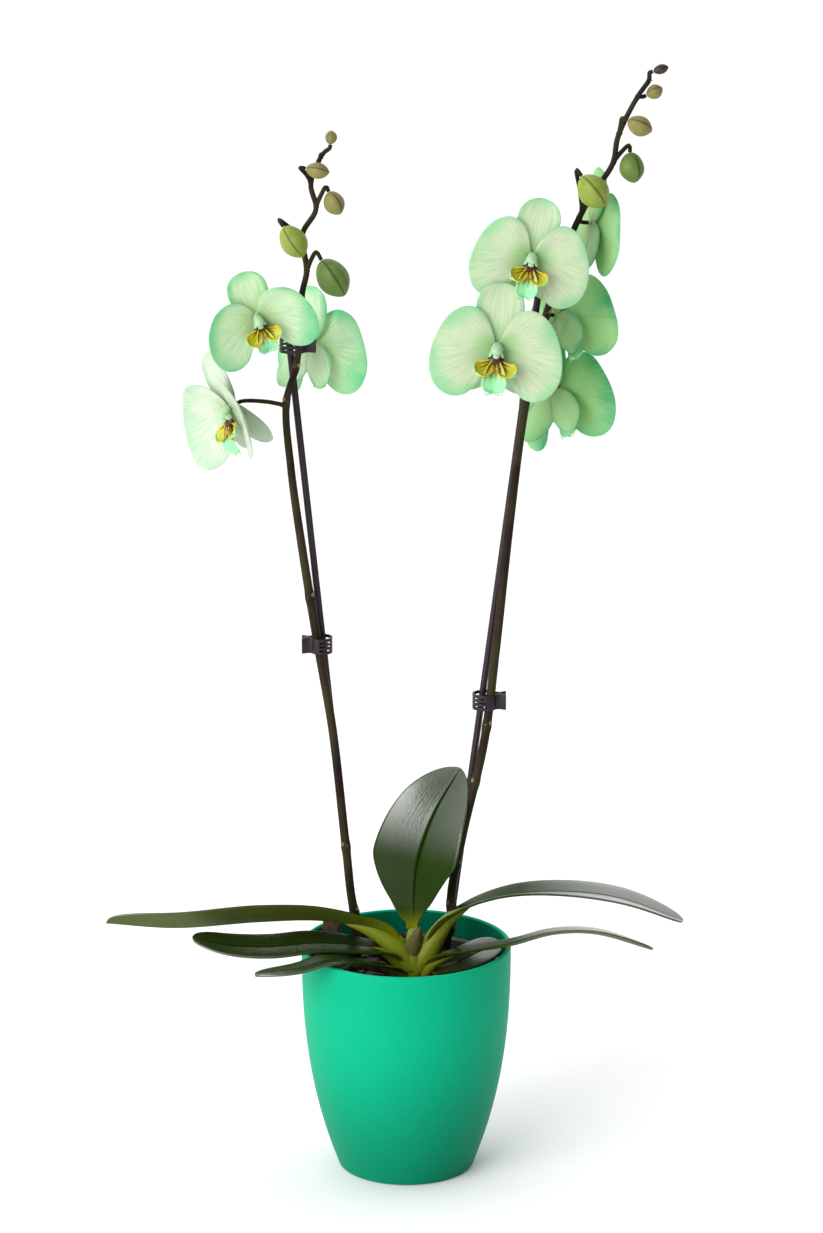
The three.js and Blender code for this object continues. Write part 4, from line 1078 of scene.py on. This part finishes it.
def petal_tissue(name, tint, fan, settings):
    """A dyed orchid petal: pearly and translucent, its colour gathered at the edge, veins fanning from its foot."""
    heart, field, edge, back = (srgb(code) for code in PETAL_TINTS[tint])
    made, tree = new_material(name)
    place = node(tree, "TexCoord")
    axes = node(tree, "SeparateXYZ", links={0: place.outputs["UV"]})
    cloud = node(tree, "TexNoise", links={"Vector": place.outputs["Object"], "Scale": 42, "Detail": 3})
    # The share of the way out to the edge, sideways and towards the tip.
    off = node(tree, "Math", {"operation": "MULTIPLY_ADD"}, {0: axes.outputs[0], 1: 2.0, 2: -1.0})
    side = node(tree, "Math", {"operation": "ABSOLUTE"}, {0: off})
    # A petal's fan reaches its edge only outwards, a sepal's blade sideways as well.
    out = axes.outputs[1]
    if not fan:
        out = node(tree, "Math", {"operation": "MAXIMUM"}, {0: side, 1: axes.outputs[1]})
    shaken = node(tree, "Math", {"operation": "MULTIPLY_ADD"}, {0: cloud, 1: 0.8, 2: out})
    rimmed = node(tree, "MapRange", {"interpolation_type": "SMOOTHSTEP"}, {0: shaken, 1: 1.06, 2: 1.56})
    foot = node(tree, "MapRange", {"interpolation_type": "SMOOTHSTEP"}, {0: axes.outputs[1], 1: 0.5, 2: 0.05})
    base = node(tree, "Mix", {"data_type": "RGBA"}, {0: foot, 6: rgba(field), 7: rgba(heart)})
    tone = node(tree, "Mix", {"data_type": "RGBA"}, {0: rimmed, 6: base.outputs[2], 7: rgba(edge)})
    # Veins: fine uneven lines that fan out from the foot, about a millimetre apart at the edge.
    fanned = node(tree, "Mapping", links={"Vector": place.outputs["UV"], "Scale": (90 if fan else 26, 2.4, 1)})
    comb = node(tree, "TexNoise", {"noise_dimensions": "2D"}, {"Vector": fanned, "Scale": 1, "Detail": 3})
    thin = node(tree, "MapRange", {"interpolation_type": "SMOOTHSTEP"}, {0: comb, 1: 0.45, 2: 0.72, 3: 0, 4: 0.5})
    veined = node(tree, "Mix", {"data_type": "RGBA"}, {0: thin, 6: tone.outputs[2], 7: rgba(settings.vein)})
    # The midrib: a petal's leans down from its foot, a sepal's runs down its middle.
    lean = node(tree, "Math", {"operation": "SUBTRACT"}, {0: axes.outputs[0], 1: 0.59 if fan else 0.5})
    near = node(tree, "Math", {"operation": "ABSOLUTE"}, {0: lean})
    rib = node(tree, "MapRange", {"interpolation_type": "SMOOTHSTEP"}, {0: near, 1: 0.014, 2: 0, 3: 0, 4: 0.14})
    ribbed = node(tree, "Mix", {"data_type": "RGBA"}, {0: rib, 6: veined.outputs[2], 7: rgba(back)})
    bump = node(tree, "Bump", links={"Height": comb, "Strength": 0.12, "Distance": 0.25 * MM})
    surface = node(tree, "BsdfPrincipled", links={
        "Base Color": ribbed.outputs[2], "Roughness": 0.5, "IOR": 1.38, "Normal": bump,
        "Subsurface Weight": 0.35, "Subsurface Radius": (0.6, 1.0, 0.6), "Subsurface Scale": 0.003,
        "Specular IOR Level": 0.3})
    glow = node(tree, "BsdfTranslucent", links={"Color": ribbed.outputs[2], "Normal": bump})
    thin_wall = node(tree, "MixShader", links={0: 0.28, 1: surface, 2: glow})
    node(tree, "OutputMaterial", links={"Surface": thin_wall})
    return made


def lip_tissue(name, end, start, settings):
    """The waxy lip: yellow, striped maroon towards the throat, paling to green-white from start on."""
    made, tree = new_material(name)
    place = node(tree, "TexCoord")
    axes = node(tree, "SeparateXYZ", links={0: place.outputs["UV"]})
    waver = node(tree, "TexNoise", links={"Vector": place.outputs["UV"], "Scale": 4, "Detail": 2})
    drift = node(tree, "Math", {"operation": "MULTIPLY_ADD"}, {0: waver, 1: 0.12, 2: axes.outputs[0]})
    fan = node(tree, "Math", {"operation": "MULTIPLY"}, {0: drift, 1: 9 * math.tau / 2})
    comb = node(tree, "Math", {"operation": "SINE"}, {0: fan})
    near = node(tree, "MapRange", {"interpolation_type": "SMOOTHSTEP"}, {0: axes.outputs[1], 1: 0.7, 2: 0.3})
    stripe = node(tree, "MapRange", {"interpolation_type": "SMOOTHSTEP"}, {0: comb, 1: 0.0, 2: 0.7})
    marked = node(tree, "Math", {"operation": "MULTIPLY"}, {0: near, 1: stripe})
    tip = node(tree, "MapRange", {"interpolation_type": "SMOOTHSTEP"}, {0: axes.outputs[1], 1: start, 2: start + 0.25})
    ends = node(tree, "Mix", {"data_type": "RGBA"}, {0: tip, 6: rgba(settings.yellow), 7: rgba(srgb(end))})
    tone = node(tree, "Mix", {"data_type": "RGBA"}, {0: marked, 6: ends.outputs[2], 7: rgba(settings.maroon)})
    surface = node(tree, "BsdfPrincipled", links={
        "Base Color": tone.outputs[2], "Roughness": 0.34, "IOR": 1.42,
        "Subsurface Weight": 0.2, "Subsurface Radius": (1.0, 0.8, 0.3), "Subsurface Scale": 0.002})
    node(tree, "OutputMaterial", links={"Surface": surface})
    return made


def waxy_tissue(name, base, dots):
    """Waxy flower tissue with a scatter of small dots, as on the column and the callus."""
    made, tree = new_material(name)
    place = node(tree, "TexCoord").outputs["Object"]
    scatter = node(tree, "TexVoronoi", links={"Vector": place, "Scale": 800})
    near = node(tree, "MapRange", {"interpolation_type": "SMOOTHSTEP"}, {0: scatter, 1: 0.42, 2: 0.18})
    cloud = node(tree, "TexNoise", links={"Vector": place, "Scale": 300, "Detail": 2})
    some = node(tree, "MapRange", {"interpolation_type": "SMOOTHSTEP"}, {0: cloud, 1: 0.5, 2: 0.6})
    both = node(tree, "Math", {"operation": "MULTIPLY"}, {0: near, 1: some})
    tone = node(tree, "Mix", {"data_type": "RGBA"}, {0: both, 6: rgba(base), 7: rgba(dots)})
    surface = node(tree, "BsdfPrincipled", links={
        "Base Color": tone.outputs[2], "Roughness": 0.3, "IOR": 1.42,
        "Subsurface Weight": 0.2, "Subsurface Radius": (1.0, 1.0, 0.8), "Subsurface Scale": 0.002})
    node(tree, "OutputMaterial", links={"Surface": surface})
    return made


def bud_skin(name, tint):
    """A closed bud: matt waxy skin, mottled, darker along the seams of its sepals."""
    foot, side, seam = (srgb(code) for code in BUD_TINTS[tint])
    made, tree = new_material(name)
    place = node(tree, "TexCoord")
    axes = node(tree, "SeparateXYZ", links={0: place.outputs["UV"]})
    cloud = node(tree, "TexNoise", links={"Vector": place.outputs["Object"], "Scale": 190, "Detail": 3})
    tone = node(tree, "Mix", {"data_type": "RGBA"}, {0: cloud, 6: rgba(foot), 7: rgba(side)})
    turn = node(tree, "Math", {"operation": "MULTIPLY"}, {0: axes.outputs[0], 1: 3 * math.tau / 2})
    wave = node(tree, "Math", {"operation": "COSINE"}, {0: turn})
    flat = node(tree, "Math", {"operation": "ABSOLUTE"}, {0: wave})
    line = node(tree, "MapRange", {"interpolation_type": "SMOOTHSTEP"}, {0: flat, 1: 0.24, 2: 0.03, 3: 0, 4: 0.9})
    seamed = node(tree, "Mix", {"data_type": "RGBA"}, {0: line, 6: tone.outputs[2], 7: rgba(seam)})
    grain = node(tree, "TexNoise", links={"Vector": place.outputs["Object"], "Scale": 1100, "Detail": 2})
    bump = node(tree, "Bump", links={"Height": grain, "Strength": 0.12, "Distance": 0.15 * MM})
    surface = node(tree, "BsdfPrincipled", links={
        "Base Color": seamed.outputs[2], "Roughness": 0.42, "IOR": 1.42, "Specular IOR Level": 0.3, "Normal": bump,
        "Subsurface Weight": 0.12, "Subsurface Radius": (0.6, 1.0, 0.3), "Subsurface Scale": 0.002})
    node(tree, "OutputMaterial", links={"Surface": surface})
    return made


def stand(flower):
    """The matrix that takes a flower's own frame (x right, y top, z facing) to where it stands."""
    z = Vector(flower["face"]).normalized()
    x = Vector(flower["top"]).cross(z).normalized()
    y = z.cross(x)
    turn = Matrix((x, y, z)).transposed().to_4x4()
    across, back, height = flower["at"]
    place = Matrix.Translation(Vector((across, back, rim(height))) * MM)
    return place @ turn @ Matrix.Scale(flower["size"], 4)


def tepal(bm, angle, length, width, bend, lift, peak, roundness, hollow=0, ruffle=0, phase=0, across=16, along=22):
    """A sepal in its flower's frame: out along an angle from the top, bending forward or back."""
    a = math.radians(angle)
    out = Vector((math.sin(a), math.cos(a), 0))
    points = [out * (length * t) + Vector((0, 0, lift + bend * length * t * t)) for t in (0.02, 0.25, 0.6, 1)]

    def rise_at(share, x):
        wave = ruffle * x * x * share * math.sin(7.5 * share + 3.1 * x + phase)
        keel = 0.45 * math.exp(-((x / 0.09) ** 2)) * (1 - share)
        return blade_half(share, width, peak, roundness, 4) * hollow * x * x + wave - keel

    blade(bm, Curve(points, 12), Vector((0, 0, 1)), lambda s, x: blade_half(s, width, peak, roundness, 4), rise_at,
          across=across, along=along)


def petal(bm, hand, cup, ruffle, phase, across=44, along=16):
    """A broad petal in its flower's frame: a fan from its foot to its outline. UV is the turn and the way out."""
    outline = Curve([Vector((x, y, 0)) for x, y in PETAL_OUTLINE], 10)
    uv = bm.loops.layers.uv.verify()
    made = bmesh.ops.create_grid(bm, x_segments=across, y_segments=along, size=1)
    shares = {}
    for vert in made["verts"]:
        x, y = (vert.co.x + 1) / 2, (vert.co.y + 1) / 2
        edge = outline.at(x) - PETAL_FOOT
        out = 0.05 + 0.95 * y
        spot = PETAL_FOOT + edge * out
        turn = math.atan2(edge.x, edge.y)
        shares[vert] = (turn / math.pi, y)
        far = (edge.length * out / PETAL_LENGTH) ** 2
        wave = math.sin(3.3 * turn + phase) + 0.55 * math.sin(7.9 * turn + 2 * phase)
        crease = math.exp(-(((turn - 1.85) / 0.12) ** 2)) * out * (1 - out)
        rise = 0.9 + cup * PETAL_LENGTH * far + ruffle * wave * out**2.5 - 2.2 * crease
        rise += 3.2 * math.sin(math.pi * min(1, out * 0.9)) * (edge.length / PETAL_LENGTH) * 0.5
        vert.co = Vector((hand * spot.x, spot.y, rise)) * MM
    faces = list({face for vert in made["verts"] for face in vert.link_faces})
    for face in faces:
        for loop in face.loops:
            loop[uv].uv = shares[loop.vert]
    # Mirroring turns the faces over, so one side's are turned back to look forward.
    for face in faces:
        face.normal_update()
    if sum(face.normal.z * face.calc_area() for face in faces) < 0:
        bmesh.ops.reverse_faces(bm, faces=faces)


class ORCHID_OT_flowers(bpy.types.Operator):
    """Makes the open flowers: sepals, petals, lip lobes, callus and column"""

    bl_idname = "orchid.flowers"
    bl_label = "Flowers"

    def execute(self, context):
        settings = context.scene.orchid_flower
        petals = {tint: petal_tissue(f"orchid petal, {tint}", tint, True, settings) for tint in PETAL_TINTS}
        sepals = {tint: petal_tissue(f"orchid sepal, {tint}", tint, False, settings) for tint in PETAL_TINTS}
        middle = lip_tissue("orchid lip, middle lobe", "8fd49c", 0.34, settings)
        sides = lip_tissue("orchid lip, side lobe", "9ccf8c", 0.72, settings)
        column = waxy_tissue("orchid column, waxy", settings.column, srgb("b98fae"))
        callus = waxy_tissue("orchid callus, dotted", srgb("a08418"), settings.maroon)
        throat = waxy_tissue("orchid throat, maroon", settings.maroon, srgb("2a0c0a"))
        for index, (name, flower) in enumerate(FLOWERS.items()):
            place = stand(flower)
            wall = settings.thickness * flower["size"]

            bm = bmesh.new()
            tepal(bm, DORSAL["angle"], DORSAL["length"], DORSAL["width"], -0.04, -1.4, 0.58, 2.3,
                  hollow=0.1, ruffle=0.5, phase=index)
            for hand in (1, -1):
                tepal(bm, hand * LATERAL["angle"], LATERAL["length"], LATERAL["width"], -0.12, -1.4, 0.5, 2.0,
                      hollow=0.12, ruffle=0.5, phase=index + hand)
            bmesh.ops.transform(bm, matrix=place, verts=bm.verts)
            piece(f"sepals_{name}_blades", bm, [sepals[flower["tint"]]], [f"sepals_{name}"], wall=wall, levels=1)

            bm = bmesh.new()
            for hand in (1, -1):
                petal(bm, hand, flower["cup"], 0.7, index * 2 + hand)
            bmesh.ops.transform(bm, matrix=place, verts=bm.verts)
            piece(f"petals_{name}_blades", bm, [petals[flower["tint"]]], [f"petals_{name}"], wall=wall, levels=1)

            self.lip(name, place, middle, sides, column, wall)
            self.column(name, place, column, callus, throat)
        return {"FINISHED"}

    def lip(self, name, place, middle, sides, column, wall):
        """The lip: a middle lobe that reaches down, ends in two tendrils, and two raised side lobes."""
        z = 2.9
        bm = bmesh.new()
        keel = Curve([Vector((0, -8, z + 3)), Vector((0, -14.5, z + 6.5)), Vector((0, -21.5, z + 9.5)),
                      Vector((0, 0.5 - LIP_LENGTH, z + 7.5))], 12)
        blade(bm, keel, Vector((0, 0.6, 1)), lambda s, x: blade_half(s, 16.5, 0.66, 2.2, 4.5, 1.5),
              lambda s, x: 2.6 * x * x - 0.5 * math.exp(-((x / 0.2) ** 2)) * s, across=16, along=26)
        bmesh.ops.transform(bm, matrix=place, verts=bm.verts)
        piece(f"lip_{name}_middle", bm, [middle], [f"lip_{name}"], wall=wall * 1.3, levels=1)

        bm = bmesh.new()
        for hand in (1, -1):
            side = Curve([Vector((hand * 1.6, -9.5, z + 3)), Vector((hand * 6.5, -14.5, z + 6.5)),
                          Vector((hand * 13, -16, z + 12))], 12)
            blade(bm, side, Vector((-hand * 0.5, 0.9, 0.5)), lambda s, x: blade_half(s, 13.5, 0.62, 2.2, 3.5, 1.4),
                  lambda s, x: 2.6 * x * x - 1.2 * s * s, across=14, along=18)
        bmesh.ops.transform(bm, matrix=place, verts=bm.verts)
        piece(f"lip_{name}_sides", bm, [sides], wall=wall * 1.3, levels=1)

        bm = bmesh.new()
        for hand in (1, -1):
            curl = Curve([Vector((hand * 1.2, 1.2 - LIP_LENGTH, z + 7.6)), Vector((hand * 3, -1 - LIP_LENGTH, z + 8.5)),
                          Vector((hand * 6, -LIP_LENGTH, z + 10)), Vector((hand * 6, 3 - LIP_LENGTH, z + 10.5))])
            tube(bm, curl, lambda s: 0.42 - 0.28 * s, 8, 18)
        bmesh.ops.transform(bm, matrix=place, verts=bm.verts)
        piece(f"lip_{name}_tendrils", bm, [column])

    def column(self, name, place, column, callus, throat):
        """The hooded column with its cap, the dotted callus below it and the dark throat between them."""
        z = 2.9
        bm = bmesh.new()
        line = Curve([Vector((0, 0.5, z - 0.5)), Vector((0, -0.8, z + 3)), Vector((0, -2.8, z + 6)),
                      Vector((0, -5.2, z + 7.8))])
        tube(bm, line, lambda s: 2.4 + 1.1 * math.sin(math.pi * min(1, s * 0.85)) - 2.3 * max(0, s - 0.8) / 0.2 * 0.9,
             22, 22)
        for vert in bm.verts:
            vert.co.x *= 1.15
        # The cap over the pollen sits in the hood's end, and a wing runs down each side.
        cap = Matrix.Translation(Vector((0, -5.6, z + 6.9)) * MM) @ Matrix.Diagonal((2.3, 1.7, 1.9, 1))
        bmesh.ops.create_uvsphere(bm, u_segments=18, v_segments=12, radius=MM, matrix=cap)
        for hand in (1, -1):
            wing = Matrix.Translation(Vector((hand * 3.3, -4.2, z + 4.4)) * MM) @ Matrix.Rotation(hand * 0.5, 4, "Z")
            wing @= Matrix.Diagonal((1.2, 3.2, 2.6, 1))
            bmesh.ops.create_uvsphere(bm, u_segments=14, v_segments=10, radius=MM, matrix=wing)
        bmesh.ops.transform(bm, matrix=place, verts=bm.verts)
        piece(f"column_{name}", bm, [column])

        bm = bmesh.new()
        for hand in (1, -1):
            spot = Matrix.Translation(Vector((hand * 1.5, -14.2, z + 8.3)) * MM) @ Matrix.Rotation(hand * 0.3, 4, "Z")
            spot @= Matrix.Diagonal((1.5, 2.5, 1.7, 1))
            bmesh.ops.create_uvsphere(bm, u_segments=14, v_segments=10, radius=MM, matrix=spot)
        bmesh.ops.transform(bm, matrix=place, verts=bm.verts)
        piece(f"callus_{name}", bm, [callus])

        bm = bmesh.new()
        spot = Matrix.Translation(Vector((0, -9.2, z + 3.8)) * MM) @ Matrix.Diagonal((5.8, 4.4, 3, 1))
        bmesh.ops.create_uvsphere(bm, u_segments=18, v_segments=12, radius=MM, matrix=spot)
        bmesh.ops.transform(bm, matrix=place, verts=bm.verts)
        piece(f"throat_{name}", bm, [throat])


class ORCHID_OT_buds(bpy.types.Operator):
    """Makes the closed buds"""

    bl_idname = "orchid.buds"
    bl_label = "Buds"

    def execute(self, context):
        skins = {tint: bud_skin(f"orchid bud, {tint}", tint) for tint in BUD_TINTS}
        for name, bud in BUDS.items():
            length, width = bud["size"]
            bm = bmesh.new()
            bm.loops.layers.uv.verify()
            bmesh.ops.create_uvsphere(bm, u_segments=48, v_segments=28, radius=1, calc_uvs=True)
            for vert in bm.verts:
                x, y, z = vert.co
                turn = math.atan2(y, x)
                seam = 1 - 0.05 * math.exp(-((math.cos(turn * 1.5) / 0.2) ** 2)) + 0.03 * math.cos(turn * 3)
                pinch = (1 - 0.34 * z**3 if z > 0 else 1 + 0.1 * z) * seam
                vert.co = Vector((x * width / 2 * pinch, y * width / 2 * pinch * 0.92, z * length / 2)) * MM
            turn = Vector((0, 0, 1)).rotation_difference(Vector(bud["tip"]).normalized()).to_matrix().to_4x4()
            across, back, height = bud["at"]
            place = Matrix.Translation(Vector((across, back, rim(height))) * MM) @ turn
            bmesh.ops.transform(bm, matrix=place, verts=bm.verts)
            piece(name + "_skin", bm, [skins[bud["tint"]]], [name])
        return {"FINISHED"}


# ---- Stage ----------------------------------------------------------------------------------------------


def soft_light(name, place, aim, size, power, tint=(1, 1, 1)):
    """A large square soft box that faces a point."""
    data = bpy.data.lights.new(name, "AREA")
    data.shape = "SQUARE"
    data.size = size
    data.energy = power
    data.color = tint
    made = bpy.data.objects.new(name, data)
    made.location = place
    made.rotation_euler = (Vector(aim) - Vector(place)).to_track_quat("-Z", "Y").to_euler()
    bpy.context.scene.collection.objects.link(made)


class ORCHID_OT_stage(bpy.types.Operator):
    """Sets the floor, the studio light and the camera"""

    bl_idname = "orchid.stage"
    bl_label = "Stage"

    def execute(self, context):
        settings = context.scene.orchid_stage
        bm = bmesh.new()
        bmesh.ops.create_grid(bm, x_segments=1, y_segments=1, size=12)
        mesh = bpy.data.meshes.new("floor")
        bm.to_mesh(mesh)
        bm.free()
        floor = bpy.data.objects.new("floor", mesh)
        context.scene.collection.objects.link(floor)
        made, tree = new_material("floor paper, matt")
        surface = node(tree, "BsdfPrincipled", links={"Base Color": rgba(settings.floor), "Roughness": 0.9})
        node(tree, "OutputMaterial", links={"Surface": surface})
        mesh.materials.append(made)

        # A white room with a dark screen in front and to the right, which shades that side of everything.
        world = bpy.data.worlds.new("studio")
        context.scene.world = world
        world.use_nodes = True
        tree = world.node_tree
        tree.nodes.clear()
        place = node(tree, "TexCoord").outputs["Generated"]
        toward = node(tree, "VectorMath", {"operation": "DOT_PRODUCT"}, {0: place, 1: (0.66, -0.75, 0.0)})
        glow = node(tree, "MapRange", {"interpolation_type": "SMOOTHSTEP"},
                    {0: toward.outputs["Value"], 1: 0.1, 2: 0.75, 3: 1.34, 4: 0.17})
        sky = node(tree, "Background", links={"Color": (1, 1, 1, 1), "Strength": glow})
        node(tree, "OutputWorld", links={"Surface": sky})

        middle = (0, 0, 0.35)
        soft_light("key", (-1.8, -2.1, 1.2), middle, 2.0, 70)

        data = bpy.data.cameras.new("camera")
        data.lens = settings.lens
        camera = bpy.data.objects.new("camera", data)
        camera.location = (0.0034, -settings.distance, settings.height)
        camera.rotation_euler = (math.pi / 2 - settings.pitch, 0, 0)
        context.scene.collection.objects.link(camera)
        context.scene.camera = camera
        context.scene.view_settings.view_transform = "Standard"
        return {"FINISHED"}


# ---- Add-on ---------------------------------------------------------------------------------------------

OPERATORS = [
    ORCHID_OT_pots,
    ORCHID_OT_bark,
    ORCHID_OT_leaves,
    ORCHID_OT_crown,
    ORCHID_OT_spikes,
    ORCHID_OT_clips,
    ORCHID_OT_flowers,
    ORCHID_OT_buds,
    ORCHID_OT_stage,
]


class ORCHID_PT_panel(bpy.types.Panel):
    """Lists the settings and the pieces of the orchid"""

    bl_idname = "ORCHID_PT_panel"
    bl_label = "Potted orchid"
    bl_space_type = "VIEW_3D"
    bl_region_type = "UI"
    bl_category = "Orchid"

    def draw(self, context):
        for name, group in SETTINGS.items():
            box = self.layout.box()
            for setting in group.__annotations__:
                box.prop(getattr(context.scene, name), setting)
        for operator in OPERATORS:
            self.layout.operator(operator.bl_idname)


def register():
    for made in (*SETTINGS.values(), *OPERATORS, ORCHID_PT_panel):
        bpy.utils.register_class(made)
    for name, group in SETTINGS.items():
        setattr(bpy.types.Scene, name, PointerProperty(type=group))


def unregister():
    for name in SETTINGS:
        delattr(bpy.types.Scene, name)
    for made in reversed((*SETTINGS.values(), *OPERATORS, ORCHID_PT_panel)):
        bpy.utils.unregister_class(made)


def main():
    """Registers the add-on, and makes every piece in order."""
    register()
    for operator in OPERATORS:
        group, call = operator.bl_idname.split(".")
        getattr(getattr(bpy.ops, group), call)()
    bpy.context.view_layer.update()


if __name__ == "__main__":
    main()
